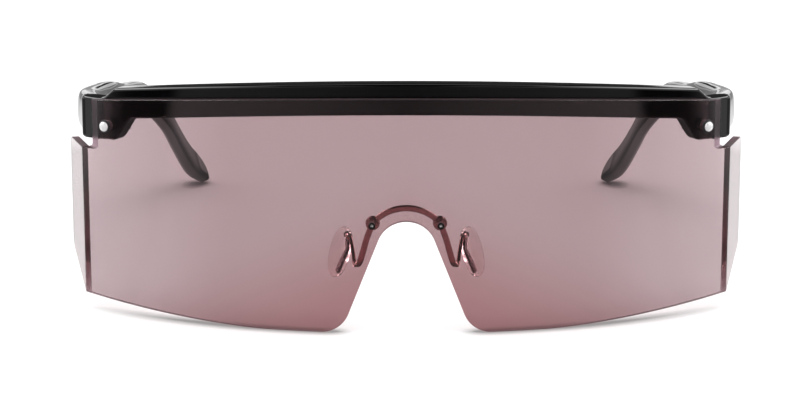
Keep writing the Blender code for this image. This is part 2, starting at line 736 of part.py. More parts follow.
def build_hinge_screw():
    """The hinge pin, with a slotted head above the top knuckle."""
    frame = upright_frame(HINGE_X, HINGE_Y)
    bottom = knuckle_heights(0)[0][0]
    seat = knuckle_heights(0)[-1][1] + FINE_GAP
    top = seat + HINGE_HEAD_HEIGHT
    profile = (
        (HINGE_PIN_RADIUS, bottom),
        (HINGE_PIN_RADIUS, seat),
        (HINGE_HEAD_RADIUS, seat),
        (HINGE_HEAD_RADIUS, top),
    )
    reach = HINGE_HEAD_RADIUS + OVERRUN
    slot = block(frame, (-reach, -SLOT_WIDTH / 2, top - SLOT_DEPTH), (reach, SLOT_WIDTH / 2, top + OVERRUN))
    return combine(turned(frame, profile, FINE_SIDES), "DIFFERENCE", [slot])


# Temples

def temple_place(share):
    """The left temple's centre at a share of its reach, then its section's size and lean."""
    height, side, tall, thick, lean = curve_through(TEMPLE_SHARES, share)
    x = END_HALF_WIDTH * side - TEMPLE_THICKNESS * thick / 2
    centre = Vector((x, TEMPLE_START + TEMPLE_REACH * share, TEMPLE_CENTRE * height))
    return centre, (TEMPLE_THICKNESS * thick, TEMPLE_HEIGHT * tall), TEMPLE_LEAN * lean


def temple_frame(share):
    """Centre frame of the left temple: X outwards, Y back along it, Z up its section, whose top leans
    outwards behind the ear. Gives also the section's size."""
    centre, size, lean = temple_place(share)
    step = 1.0 / TEMPLE_STATIONS / 4
    before = temple_place(max(share - step, 0.0))[0]
    after = temple_place(min(share + step, 1.0))[0]
    along = (after - before).normalized()
    if share <= 0.0:
        along = Vector((0.0, 1.0, 0.0))
    upright = Vector((1.0, 0.0, 0.0)).cross(along).normalized()
    outward = along.cross(upright)
    turned_up = upright * math.cos(lean) + outward * math.sin(lean)
    return frame_from(centre, along.cross(turned_up), along, turned_up), size


def temple_ring(share):
    """A rounded section: a superellipse, drawn in to a round tip at the end, and cut flat where it
    would reach below the floor."""
    frame, (thick, tall) = temple_frame(share)
    past = max(share - 1.0 + TIP_SHARE, 0.0) / TIP_SHARE
    draw = math.sqrt(max(1.0 - past ** 2, TIP_BLUNT_SHARE))
    thick *= math.sqrt(draw)
    tall *= draw
    ring = []
    for index in range(TEMPLE_SIDES):
        turn = 2.0 * math.pi * (index + 0.5) / TEMPLE_SIDES
        power = 2.0 / TEMPLE_ROUNDNESS
        across = math.copysign(abs(math.cos(turn)) ** power, math.cos(turn)) * thick / 2
        up = math.copysign(abs(math.sin(turn)) ** power, math.sin(turn)) * tall / 2
        point = frame @ Vector((across, 0.0, up))
        point.z = max(point.z, 0.0)
        ring.append(point)
    return ring


def core_rings(first, last, spare):
    """Rings of the core wire, or of its bore when spare is the room around the wire."""
    rings = []
    across = CORE_WIDTH / 2 + spare
    up = CORE_HEIGHT / 2 + spare
    for share in spread(first, last, CORE_STATIONS):
        frame, size = temple_frame(max(share, 0.0))
        frame.translation += Vector((0.0, min(share, 0.0) * TEMPLE_REACH, 0.0))
        corners = ((-across, -up), (across, -up), (across, up), (-across, up))
        rings.append([frame @ Vector((CORE_OFFSET + x, 0.0, z)) for x, z in corners])
    return rings


def build_temple():
    shares = spread(0.0, 1.0 - TIP_SHARE, TEMPLE_STATIONS)
    tip_turns = spread(0.0, math.pi / 2, TIP_STATIONS)[1:]
    shares += [1.0 - TIP_SHARE + TIP_SHARE * math.sin(turn) for turn in tip_turns]
    rings = [temple_ring(share) for share in shares]
    overrun_share = OVERRUN / TEMPLE_REACH
    gap_share = GAP / TEMPLE_REACH
    cuts = [skin(core_rings(-overrun_share, CORE_END_SHARE + gap_share, GAP))]
    for share in LEAF_SCREW_SHARES:
        frame = leaf_screw_frame(share)
        deep = LEAF_THICKNESS + FINE_GAP + LEAF_SCREW_DEPTH + FINE_GAP
        cuts.append(rod(frame, LEAF_SCREW_RADIUS + FINE_GAP, 0.0, deep, SMALL_SIDES))
    return combine(skin(rings), "DIFFERENCE", cuts)


def build_temple_core():
    return skin(core_rings(CORE_START_SHARE, CORE_END_SHARE, 0.0))


# Bridge

def strip_ring(centre, along, side_hint, width, depth):
    """A strip's section with cut corners, square to its run."""
    side = (side_hint - along * side_hint.dot(along)).normalized()
    face = along.cross(side)
    ring = []
    cut_share = 0.6
    corners = ((1.0, cut_share), (cut_share, 1.0), (-cut_share, 1.0), (-1.0, cut_share))
    for x, y in corners + tuple((-x, -y) for x, y in corners):
        ring.append(centre + side * x * width / 2 + face * y * depth / 2)
    return ring


def arch_rings():
    """Rings of the arch, a circle's arc between the eyelets, bent round behind the lens."""
    drop = ARCH_HEIGHT - EYELET_HEIGHT
    radius = (EYELET_X ** 2 + drop ** 2) / (2 * drop)
    reach = 2.0 * math.atan2(drop, EYELET_X)
    rings = []
    for turn in spread(-reach, reach, 16):
        angle = radius * math.sin(turn) / LENS_RADIUS
        height = ARCH_HEIGHT - radius * (1.0 - math.cos(turn))
        across = Vector((math.cos(angle), math.sin(angle), 0.0))
        outward = Vector((math.sin(angle), -math.cos(angle), 0.0))
        along = across * math.cos(turn) - UP * math.sin(turn)
        centre = arc_place(EYELET_MIDDLE, angle, height)
        rings.append(strip_ring(centre, along, outward.cross(along), ARCH_WIDTH, ARCH_DEPTH))
    return rings


def arm_point(row):
    """A point of the left arm's route, from shares outwards, backwards and downwards."""
    start = arc_place(EYELET_MIDDLE, BRIDGE_ANGLE, EYELET_HEIGHT)
    return start + Vector((row[0] * ARM_SPREAD, row[1] * ARM_REACH, -row[2] * ARM_DROP))


def arm_rings():
    """Rings of the left arm: down from the eyelet, round a bend, and back up to the pad's eye."""
    rows = [(index / (len(ARM_SHARES) - 1), *row) for index, row in enumerate(ARM_SHARES)]
    pivot = pad_pivot()
    rings = []
    shares = spread(0.0, 1.0, ARM_STATIONS)
    points = [arm_point(curve_through(rows, share)) for share in shares]
    points.append(pivot)
    sizes = [curve_through(rows, share)[3:] for share in shares]
    sizes.append(sizes[-1])
    for index, point in enumerate(points):
        before = points[max(index - 1, 0)]
        after = points[min(index + 1, len(points) - 1)]
        width, depth = sizes[index]
        along = (after - before).normalized()
        hint = Vector((1.0, 0.0, 0.0))
        rings.append(strip_ring(point, along, hint, ARM_WIDTH * width, ARM_DEPTH * depth))
    return rings


def mirrored(mesh):
    copy = mesh.copy()
    copy.transform(Matrix.Scale(-1.0, 4, (1.0, 0.0, 0.0)))
    copy.flip_normals()
    return copy


def build_bridge():
    eyelet = front_frame(BRIDGE_ANGLE, EYELET_HEIGHT)
    low = EYELET_FRONT - EYELET_THICKNESS
    eye = pivot_frame()
    half = EYE_LENGTH / 2
    joins = [
        rod(eyelet, EYELET_RADIUS, low, EYELET_FRONT),
        skin(arm_rings()),
        rod(eye, EYE_RADIUS, -half, half),
    ]
    cuts = [
        rod(eyelet, BRIDGE_SHANK + FINE_GAP, low - OVERRUN, EYELET_FRONT + OVERRUN, SMALL_SIDES),
        rod(eye, PAD_PIN_RADIUS + FINE_GAP, -half - OVERRUN, half + FINE_GAP, SMALL_SIDES),
    ]
    joins += [mirrored(mesh) for mesh in joins]
    cuts += [mirrored(mesh) for mesh in cuts]
    mesh = combine(skin(arch_rings()), "UNION", joins)
    return combine(mesh, "DIFFERENCE", cuts)


def build_bridge_screw():
    """A slotted head in front of the lens, with a shank through to the back of the nut."""
    frame = front_frame(BRIDGE_ANGLE, EYELET_HEIGHT)
    seat = LENS_RADIUS + FINE_GAP
    low = EYELET_FRONT - EYELET_THICKNESS - FINE_GAP - BRIDGE_NUT_THICKNESS
    profile = (
        (BRIDGE_SHANK, low),
        (BRIDGE_SHANK, seat),
        (BRIDGE_HEAD_RADIUS, seat),
        (BRIDGE_HEAD_RADIUS, BRIDGE_HEAD_FRONT),
    )
    reach = BRIDGE_HEAD_RADIUS + OVERRUN
    slot_low = (-SLOT_WIDTH / 2, -reach, BRIDGE_HEAD_FRONT - SLOT_DEPTH)
    slot = block(frame, slot_low, (SLOT_WIDTH / 2, reach, BRIDGE_HEAD_FRONT + OVERRUN))
    return combine(turned(frame, profile, SMALL_SIDES), "DIFFERENCE", [slot])


def build_bridge_washer():
    frame = front_frame(BRIDGE_ANGLE, EYELET_HEIGHT)
    inner = BRIDGE_SHANK + FINE_GAP
    low = WASHER_FRONT - BRIDGE_WASHER_THICKNESS
    return washer(frame, BRIDGE_WASHER_RADIUS, inner, low, WASHER_FRONT, SMALL_SIDES)


def build_bridge_nut():
    frame = front_frame(BRIDGE_ANGLE, EYELET_HEIGHT)
    high = EYELET_FRONT - EYELET_THICKNESS - FINE_GAP
    inner = BRIDGE_SHANK + FINE_GAP
    return washer(frame, BRIDGE_NUT_RADIUS, inner, high - BRIDGE_NUT_THICKNESS, high, NUT_SIDES)


# Nose pads

TONGUE_FRONT = PIVOT_FRONT - EYE_LENGTH / 2 - FINE_GAP
TONGUE_BACK = TONGUE_FRONT - TONGUE_THICKNESS


def insert_route():
    """Places of the insert's strip in the pad: distance to the front, up the long axis, and width."""
    route = [((TONGUE_BACK + TONGUE_FRONT) / 2, PIVOT_UP - EYE_RADIUS * 2 / 3, TONGUE_THICKNESS)]
    for front_share, up_share in INSERT_SHARES:
        route.append((front_share * PAD_WIDTH / 2, up_share * PAD_LENGTH / 2, INSERT_WIDTH))
    return route


def insert_strip(spare, low, high):
    """The insert's bent strip between two depths, as blocks from point to point of its route, or the
    channel round it when spare is the room beside it."""
    blocks = []
    route = insert_route()
    for (y1, z1, width), (y2, z2, next_width) in zip(route, route[1:]):
        run = Vector((0.0, y2 - y1, z2 - z1))
        along = run.normalized()
        x_axis = Vector((1.0, 0.0, 0.0))
        frame = pad_frame() @ frame_from(Vector((0.0, y1, z1)), x_axis, along.cross(x_axis), along)
        half = width / 2 + spare
        blocks.append(block(frame, (low, -half, -half), (high, half, run.length + half)))
    return blocks


def build_pad_insert():
    """A bent strip along the pad, with a bored tongue beside the arm's eye."""
    strips = insert_strip(0.0, -INSERT_DEPTH / 2, INSERT_DEPTH / 2)
    frame = pivot_frame()
    back = TONGUE_BACK - PIVOT_FRONT
    front = TONGUE_FRONT - PIVOT_FRONT
    tongue = rod(frame, EYE_RADIUS, back, front)
    mesh = combine(strips[0], "UNION", strips[1:] + [tongue])
    bore = rod(frame, PAD_PIN_RADIUS + FINE_GAP, back - INSERT_WIDTH, front + OVERRUN, SMALL_SIDES)
    return combine(mesh, "DIFFERENCE", [bore])


def pad_rings():
    """Rings of the oval pad through its thickness, with a full round edge."""
    frame = pad_frame()
    rings = []
    for turn in spread(-math.pi / 2, math.pi / 2, 6):
        depth = PAD_THICKNESS / 2 * math.sin(turn)
        inset = PAD_THICKNESS / 2 * (1.0 - math.cos(turn))
        ring = []
        for index in range(PAD_SIDES):
            angle = 2.0 * math.pi * index / PAD_SIDES
            front = (PAD_WIDTH / 2 - inset) * math.cos(angle)
            up = (PAD_LENGTH / 2 - inset) * math.sin(angle)
            ring.append(frame @ Vector((depth, front, up)))
        rings.append(ring)
    return rings


def build_nose_pad():
    """A clear oval pad, with a channel on its outer side for the insert and room for the pin."""
    cuts = insert_strip(FINE_GAP, -PAD_THICKNESS, INSERT_DEPTH / 2 + FINE_GAP)
    room = EYE_RADIUS + GAP
    head = TONGUE_BACK - PIVOT_FRONT - PAD_PIN_HEAD_HEIGHT - 2 * FINE_GAP
    cuts.append(rod(pivot_frame(), room, head, PAD_WIDTH / 2))
    return combine(skin(pad_rings()), "DIFFERENCE", cuts)


def build_pad_screw():
    """A pin through tongue and eye, with its head on the tongue's inner side."""
    back = TONGUE_BACK - PIVOT_FRONT - FINE_GAP
    profile = (
        (PAD_PIN_HEAD, back - PAD_PIN_HEAD_HEIGHT),
        (PAD_PIN_HEAD, back),
        (PAD_PIN_RADIUS, back),
        (PAD_PIN_RADIUS, EYE_LENGTH / 2),
    )
    return turned(pivot_frame(), profile, SMALL_SIDES)


# Scene

def material(name, colour, roughness, metallic=0.0, transmission=0.0):
    made = bpy.data.materials.new(name)
    made.use_nodes = True
    made.diffuse_color = (*colour, 1.0)
    shader = made.node_tree.nodes["Principled BSDF"]
    shader.inputs["Base Color"].default_value = (*colour, 1.0)
    shader.inputs["Roughness"].default_value = roughness
    shader.inputs["Metallic"].default_value = metallic
    shader.inputs["Transmission Weight"].default_value = transmission
    return made


def empty(name, location, parent=None):
    made = bpy.data.objects.new(name, None)
    bpy.context.scene.collection.objects.link(made)
    made.location = location
    made.parent = parent
    return made


def add(name, mesh, finish, parent):
    """A named piece under its parent. The mesh is in the whole's own places, so it is moved back by as
    much as its parent stands from the whole's empty."""
    mesh.name = name
    mesh.materials.clear()
    mesh.materials.append(finish)
    mesh.shade_smooth()
    mesh.set_sharp_from_angle(angle=SMOOTH_ANGLE)
    piece = bpy.data.objects.new(name, mesh)
    bpy.context.scene.collection.objects.link(piece)
    piece.parent = parent
    if parent.parent is not None:
        piece.location = -parent.location
    return piece


def add_pair(name, build, finish, parents, suffix=""):
    """The same piece on both sides: built on the left and mirrored to the right."""
    mesh = build()
    add(name + "_left" + suffix, mesh, finish, parents[0])
    add(name + "_right" + suffix, mirrored(mesh), finish, parents[1])


def main():
    clear_scene()
    acetate = material("black_acetate", (0.012, 0.012, 0.014), 0.12)
    tinted = material("rose_lens", (0.62, 0.36, 0.38), 0.03, transmission=0.9)
    metal = material("bridge_metal", (0.55, 0.42, 0.40), 0.22, metallic=1.0)
    steel = material("steel", (0.62, 0.62, 0.63), 0.25, metallic=1.0)
    silver = material("polished_silver", (0.86, 0.86, 0.87), 0.12, metallic=1.0)
    dark = material("dark_ring", (0.03, 0.03, 0.035), 0.35)
    nylon = material("clear_nylon", (0.85, 0.86, 0.86), 0.3, transmission=0.6)
    silicone = material("clear_silicone", (0.90, 0.86, 0.86), 0.15, transmission=0.85)

    whole = empty("sunglasses", (0.0, -(FRONT_MOST + TEMPLE_END) / 2, 0.0))
    both = (whole, whole)
    pads = []
    temples = []
    for side, label in ((1, "left"), (-1, "right")):
        mirror = Matrix.Scale(side, 4, (1.0, 0.0, 0.0))
        pads.append(empty("pad_pivot_" + label, mirror @ pad_pivot(), whole))
        hinge = mirror @ Vector((HINGE_X, HINGE_Y, HINGE_HEIGHT))
        temples.append(empty("temple_pivot_" + label, hinge, whole))

    add("brow_bar", build_brow_bar(), acetate, whole)
    add("shield_lens", build_lens(), tinted, whole)
    add("bridge", build_bridge(), metal, whole)
    add_pair("bridge_screw", build_bridge_screw, dark, both)
    add_pair("bridge_washer", build_bridge_washer, nylon, both)
    add_pair("bridge_nut", build_bridge_nut, metal, both)
    add_pair("lens_screw", build_lens_screw, silver, both)
    add_pair("lens_washer", build_lens_washer, dark, both)
    add_pair("lens_bushing", build_lens_bushing, nylon, both)
    add_pair("lens_nut", build_lens_nut, steel, both)
    add_pair("hinge_leaf_front", build_front_leaf, steel, both)
    add_pair("hinge_screw", build_hinge_screw, steel, both)
    add_pair("pad_screw", build_pad_screw, steel, both)

    add_pair("hinge_leaf_temple", build_temple_leaf, steel, temples)
    add_pair("temple", build_temple, acetate, temples)
    add_pair("temple_core", build_temple_core, steel, temples)
    for number, share in enumerate(LEAF_SCREW_SHARES, start=1):
        add_pair("leaf_screw", lambda: build_leaf_screw(share), steel, temples, "_" + str(number))

    add_pair("pad_insert", build_pad_insert, metal, pads)
    add_pair("nose_pad", build_nose_pad, silicone, pads)
    for pivot in pads + temples:
        print(pivot.name, [round(value, 6) for value in whole.location + pivot.location])


main()
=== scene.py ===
"""Wraparound sunglasses, dressed for a picture: the tinted shield, the brow bar, the temples, the bridge, the
nose pads and the small metal parts get their finished forms and materials, in place of the plain model's.

X runs across the face, Y runs back along the temples and Z is up. Sizes are in metres. Shapes are worked out
from the middle of the shield at floor level, and each finished piece is then moved to its place.
"""

import math

import bmesh
import bpy
from mathutils import Matrix, Vector


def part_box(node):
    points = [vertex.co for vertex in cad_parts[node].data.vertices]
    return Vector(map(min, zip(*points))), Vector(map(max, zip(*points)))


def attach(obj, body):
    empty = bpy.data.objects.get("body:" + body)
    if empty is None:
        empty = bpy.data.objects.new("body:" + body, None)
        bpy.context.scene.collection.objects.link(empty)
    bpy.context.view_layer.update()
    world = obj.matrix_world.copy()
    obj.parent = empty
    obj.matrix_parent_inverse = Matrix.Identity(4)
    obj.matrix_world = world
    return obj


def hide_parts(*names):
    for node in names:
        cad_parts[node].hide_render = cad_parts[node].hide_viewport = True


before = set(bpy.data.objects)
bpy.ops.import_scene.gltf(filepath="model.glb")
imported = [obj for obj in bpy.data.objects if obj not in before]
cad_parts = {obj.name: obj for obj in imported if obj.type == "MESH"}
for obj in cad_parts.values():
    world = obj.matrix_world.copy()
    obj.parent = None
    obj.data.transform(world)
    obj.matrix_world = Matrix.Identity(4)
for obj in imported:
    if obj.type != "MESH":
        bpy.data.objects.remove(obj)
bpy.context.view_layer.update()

bl_info = {
    "name": "Wraparound Sunglasses",
    "version": (1, 0, 0),
    "blender": (4, 5, 0),
    "location": "3D View > Sidebar > Sunglasses",
    "description": "Finished pieces, materials and stage for a pair of wraparound sunglasses",
    "category": "Object",
}

FRONT_PLACE = Vector((0.0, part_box("shield_lens")[0][1], 0.0))
ACROSS = Vector((1.0, 0.0, 0.0))
BACK = Vector((0.0, 1.0, 0.0))
UP = Vector((0.0, 0.0, 1.0))

# Gaps between pieces, and how near two points count as one
GAP = 0.0003
FINE_GAP = 0.00015
WELD = 0.000002

# Sides and steps of round forms
ROUND_SIDES = 48
EDGE_STEPS = 4
BEVEL_STEPS = 2
CREASE_ANGLE = math.radians(32.0)
FLAT_ANGLE = math.radians(1.0)
FULL_WEIGHT = 100


# Settings

def length(name, default, description):
    return bpy.props.FloatProperty(
        name=name, description=description, default=default, min=0.0, precision=5, unit="LENGTH"
    )


def turn(name, degrees, description):
    return bpy.props.FloatProperty(
        name=name, description=description, default=math.radians(degrees), subtype="ANGLE", unit="ROTATION"
    )


def share(name, default, description):
    return bpy.props.FloatProperty(
        name=name, description=description, default=default, min=0.0, max=1.0, subtype="FACTOR"
    )


def amount(name, default, description):
    return bpy.props.FloatProperty(name=name, description=description, default=default, min=0.0)


def colour(name, default, description):
    return bpy.props.FloatVectorProperty(
        name=name, description=description, default=default, size=3, min=0.0, max=1.0, subtype="COLOR"
    )


class ShieldSettings(bpy.types.PropertyGroup):
    bend_radius: length("Bend radius", 0.132, "Radius of the upright cylinder that the front follows")
    thickness: length("Thickness", 0.0018, "Thickness of the sheet")
    half_width: length("Half width", 0.0719, "From the middle to the sharp corner beside the wing")
    height: length("Height", 0.0518, "Height of the upper edge at the middle")
    top_drop: length("Top drop", 0.00415, "How far the upper edge drops towards the notch")
    corner_rise: length("Corner rise", 0.0037, "Height of the lower edge at the corner")
    rest_end: length("Rest end", 0.0300, "Where the lower edge leaves the floor")
    bottom_power: amount("Bottom power", 1.5, "How the lower edge rises towards the corner")
    notch_width: length("Notch width", 0.00125, "Width of the notch at the upper corner")
    notch_height: length("Notch height", 0.0369, "Height of the edge outside the notch")
    nose_height: length("Nose height", 0.0250, "Height of the nose cut-out")
    apex_radius: length("Apex radius", 0.0065, "Radius at the top of the nose cut-out")
    foot_radius: length("Foot radius", 0.0066, "Radius between nose flank and lower edge")
    nose_flank: turn("Nose flank", 68.5, "Slope of the cut-out's sides")
    wing_length: length("Wing length", 0.0206, "How far the wing reaches back")
    wing_flare: turn("Wing flare", 14.0, "How far the wing points outwards")
    wing_rear_top: length("Wing rear top", 0.0352, "Height of the wing's upper rear corner")
    wing_rear_bottom: length("Wing rear bottom", 0.0098, "Height of the wing's lower rear corner")
    wing_corner: length("Wing corner", 0.0015, "Radius of the wing's rear corners")
    edge_radius: length("Edge radius", 0.00012, "Rounding of the cut edges")
    upper_tint: colour("Upper tint", (0.433, 0.335, 0.348), "Surface tint of the upper part")
    side_tint: colour("Side tint", (0.575, 0.49, 0.512), "Surface tint towards the wings")
    side_start: length("Side start", 0.036, "How far aside the side tint starts")
    # Painted shade: the lower tint makes the sheet darker and rosier low down, standing in for the shaded
    # floor seen through it. The next three settings place that painted shade.
    lower_shade_tint: colour("Lower tint", (0.385, 0.222, 0.232), "Surface tint low down")
    lower_shade_start: length("Lower start", 0.009, "Height at which the lower tint starts to fade, at the middle")
    lower_shade_end: length("Lower end", 0.039, "Height at which the lower tint has faded, at the middle")
    lower_shade_tilt: share("Lower tilt", 0.5, "How fast those heights fall towards the wings")
    # Painted shade: the cut edges get a darker tint, standing in for the dark look of light held inside the
    # sheet; their roughness is a real frosted finish.
    cut_shade_tint: colour("Cut tint", (0.31, 0.18, 0.24), "Surface tint of the cut edges")
    cut_roughness: share("Cut roughness", 0.55, "Roughness of the cut edges")
    depth_tint: colour("Depth tint", (0.44, 0.13, 0.16), "Colour that deepens inside the sheet")
    density: amount("Density", 150.0, "How fast the sheet's colour deepens with depth")
    held_turns: amount("Held turns", 2.5, "How often light turns back inside the sheet before it leaves")
    held_through: share("Held through", 0.2, "Share of that light which then leaves it at once")
    facet_width: length("Facet width", 0.0030, "Width of the sloping facet at the notch's upright side")
    facet_fillet: length("Facet fillet", 0.0008, "Radius where that facet meets the notch's floor")
    light_through: share("Light through", 0.92, "Share of light that passes on to what stands behind")


class BarSettings(bpy.types.PropertyGroup):
    thickness: length("Thickness", 0.0040, "Thickness of the bar")
    top: length("Top", 0.0549, "Height of the upper edge at the middle")
    top_drop: length("Top drop", 0.0043, "How far the upper edge drops towards the shoulder")
    bottom: length("Bottom", 0.0480, "Height of the lower edge at the middle")
    bottom_drop: length("Bottom drop", 0.0037, "How far the lower edge drops towards the lug")
    edge_radius: length("Edge radius", 0.0007, "Rounding of the long edges")
    shoulder_start: length("Shoulder start", 0.0640, "Where the upper edge starts to fall")
    shoulder_end: length("Shoulder end", 0.0678, "Where the upper edge stops falling")
    lug_start: length("Lug start", 0.0600, "Where the lower edge starts to fall")
    lug_end: length("Lug end", 0.0646, "Where the lower edge stops falling")
    lug_rise: length("Lug rise", 0.0004, "How much higher the lug's inner end is than its outer end")
    lug_ease: share("Lug ease", 0.3, "Share of that fall which is eased at either end")
    end_top: length("End top", 0.0480, "Height of the end piece's top")
    end_bottom: length("End bottom", 0.0386, "Height of the end piece's bottom")
    end_half_width: length("End half width", 0.0722, "From the middle to the end piece's side")
    end_corner: length("End corner", 0.0025, "Radius of the end piece's front corner")
    butt_depth: length("Butt depth", 0.0260, "How far back the end piece meets the temple")
    acetate: colour("Acetate", (0.0007, 0.0007, 0.0011), "Colour of bar and temples")


class TempleSettings(bpy.types.PropertyGroup):
    reach: length("Reach", 0.1225, "Length along the head from butt face to tip")
    centre: length("Centre", 0.0436, "Height of the temple's middle at the hinge")
    height: length("Height", 0.0088, "Section height at the hinge")
    thickness: length("Thickness", 0.0040, "Section thickness at the hinge")
    lean: turn("Lean", 16.0, "How far the ear bend's top leans outwards")
    roundness: amount("Roundness", 3.6, "Two gives an oval section, and more gives a squarer one")
    tip_share: share("Tip share", 0.045, "Share of the reach over which the tip is drawn in")
    tip_blunt: share("Tip bluntness", 0.03, "How blunt the tip ends")
    tip_slimming: share("Tip slimming", 0.25, "How fast the tip loses its thickness")
    core_width: length("Core width", 0.0007, "Width of the core wire's section")
    core_height: length("Core height", 0.0016, "Height of the core wire's section")
    core_start: share("Core start", 0.006, "Where the core wire starts along the temple")
    core_end: share("Core end", 0.8, "Where the core wire ends along the temple")


class FastenerSettings(bpy.types.PropertyGroup):
    dome_x: length("Dome place", 0.0662, "From the middle to the domed fastener")
    dome_height: length("Dome height", 0.0424, "Height of the domed fastener above the floor")
    dome_radius: length("Dome radius", 0.0011, "Radius of the dome")
    dome_crown: length("Dome crown", 0.0007, "How far the dome stands out")
    shank_radius: length("Shank radius", 0.00055, "Radius of the fastener's shank")
    ring_radius: length("Ring radius", 0.00145, "Radius of the dark ring under the dome")
    ring_thickness: length("Ring thickness", 0.00035, "Thickness of the dark ring")
    hole_radius: length("Hole radius", 0.00115, "Radius of the sheet's hole")
    edge_radius: length("Edge radius", 0.00008, "Rounding of small metal edges")
    steel: colour("Steel", (0.60, 0.60, 0.61), "Colour of the hinges and their screws")
    silver: colour("Silver", (0.95, 0.95, 0.95), "Colour of the domes")
    ring: colour("Ring", (0.02, 0.02, 0.022), "Colour of the dark rings")
    nylon: colour("Nylon", (0.90, 0.90, 0.90), "Colour of the clear washers and sleeves")


class BridgeSettings(bpy.types.PropertyGroup):
    eyelet_x: length("Eyelet place", 0.00742, "From the middle to an eyelet")
    eyelet_height: length("Eyelet height", 0.0242, "Height of the eyelets above the floor")
    eyelet_radius: length("Eyelet radius", 0.00153, "Radius of an eyelet")
    eyelet_thickness: length("Eyelet thickness", 0.0010, "Thickness of an eyelet")
    shank_radius: length("Shank radius", 0.00042, "Radius of the bridge screws")
    head_radius: length("Head radius", 0.00076, "Radius of the screw heads")
    head_height: length("Head height", 0.0005, "Height of the screw heads")
    socket_radius: length("Socket radius", 0.00042, "Radius of the round socket in the screw heads")
    socket_depth: length("Socket depth", 0.00035, "Depth of that socket")
    washer_radius: length("Washer radius", 0.0014, "Radius of the clear washers")
    washer_thickness: length("Washer thickness", 0.0004, "Thickness of the clear washers")
    arch_height: length("Arch height", 0.02755, "Height of the arch above the floor")
    arch_width: length("Arch width", 0.0013, "Width of the arch's strip")
    arch_depth: length("Arch depth", 0.0009, "Depth of the arch's strip")
    arm_width: length("Arm width", 0.00135, "Width of the arms' strip")
    arm_depth: length("Arm depth", 0.0007, "Depth of the arms' strip")
    arm_spread: length("Arm spread", 0.0052, "How far an arm runs outwards")
    arm_reach: length("Arm reach", 0.0069, "How far an arm runs back")
    arm_drop: length("Arm drop", 0.0100, "How far an arm runs down")
    metal: colour("Metal", (0.88, 0.62, 0.60), "Colour of the bridge")
    screw_metal: colour("Screw metal", (0.05, 0.045, 0.045), "Colour of the bridge screws")
    # A painted glint: a bright colour laid into the bottom of each screw socket.
    socket_glint: colour("Socket metal", (0.95, 0.90, 0.90), "Colour of the bare metal in their sockets")
    insert_metal: colour("Insert metal", (0.10, 0.07, 0.075), "Colour of the dark inserts in the pads")


class PadSettings(bpy.types.PropertyGroup):
    x: length("Place", 0.01455, "From the middle to a pad")
    depth: length("Depth", 0.0125, "How far back a pad stands")
    centre: length("Centre", 0.0154, "Height of a pad's middle")
    turn: turn("Turn", 28.0, "How far a pad turns towards the face")
    splay: turn("Splay", 14.5, "How far a pad spreads downwards")
    length: length("Length", 0.0116, "Length of a pad")
    width: length("Width", 0.0070, "Width of a pad")
    thickness: length("Thickness", 0.0022, "Thickness of a pad")
    pivot_front: length("Pivot front", 0.0031, "From a pad's middle forwards to its pin")
    pivot_up: length("Pivot up", 0.0047, "From a pad's middle up to its pin")
    pivot_out: length("Pivot out", 0.0007, "From a pad's middle outwards to its pin")
    eye_radius: length("Eye radius", 0.00072, "Radius of the arm's eye")
    eye_length: length("Eye length", 0.0011, "Length of the arm's eye")
    insert_width: length("Insert width", 0.0008, "Width of the insert's strip")
    insert_depth: length("Insert depth", 0.0006, "Depth of the insert's strip")
    tooth_pitch: length("Tooth pitch", 0.00055, "Distance from tooth to tooth along the insert")
    silicone: colour("Silicone", (0.92, 0.84, 0.84), "Colour of the pads")


class StageSettings(bpy.types.PropertyGroup):
    floor_size: length("Floor size", 6.0, "Side of the square floor")
    floor: colour("Floor", (0.95, 0.95, 0.95), "Colour of the floor")
    floor_glow: share("Floor glow", 0.12, "Light that the floor gives back by itself")
    contact_reach: length("Contact reach", 0.0042, "How far the floor darkens round what stands on it")
    contact_share: share("Contact share", 0.36, "Brightness of the floor right where something stands on it")
    lamp_gloss: amount("Lamp gloss", 5.5, "Brightness of the lamps above either side, in polished pieces")
    high_gloss: share("High gloss", 0.04, "Brightness of the room above the horizon, in polished pieces")
    gloss_peak: amount("Gloss peak", 1.5, "Brightness of the brightest floor, in polished pieces")
    near_gloss: share("Near gloss", 0.65, "Share of that peak right beside and behind the front")
    near_width: length("Near width", 0.17, "How far aside that bright floor reaches")
    low_gloss: amount("Low gloss", 1.0, "Brightness of the horizon, in polished pieces")
    sheet_gloss: amount("Sheet gloss", 9.0, "Brightness of the floor in pieces behind the tinted sheet")
    back_light: amount("Back light", 1.45, "Brightness of the room behind the object")
    front_light: amount("Front light", 0.75, "Brightness of the room in front of the object")
    top_light: amount("Top light", 0.55, "Power in watts of the soft light above")
    lens: amount("Lens", 120.69, "Focal length of the camera in millimetres")
    distance: length("Distance", 0.576, "From the camera to the point that it looks at")
    elevation: turn("Elevation", 13.4, "How steeply the camera looks down")
    target_x: bpy.props.FloatProperty(
        name="Target place", description="Sideways place of the point that the camera looks at",
        default=-0.001374, precision=5, unit="LENGTH",
    )
    target_height: length("Target height", 0.0299, "Height of the point that the camera looks at")


class SunglassesSettings(bpy.types.PropertyGroup):
    shield: bpy.props.PointerProperty(type=ShieldSettings)
    bar: bpy.props.PointerProperty(type=BarSettings)
    temple: bpy.props.PointerProperty(type=TempleSettings)
    fastener: bpy.props.PointerProperty(type=FastenerSettings)
    bridge: bpy.props.PointerProperty(type=BridgeSettings)
    pad: bpy.props.PointerProperty(type=PadSettings)
    stage: bpy.props.PointerProperty(type=StageSettings)


def settings():
    return bpy.context.scene.sunglasses


# Curves and frames

def spread(low, high, count):
    """Evenly spaced values from low to high, both included."""
    return [low + (high - low) * index / count for index in range(count + 1)]


def smooth_step(low, high, value):
    part = min(max((value - low) / (high - low), 0.0), 1.0)
    return part * part * (3.0 - 2.0 * part)


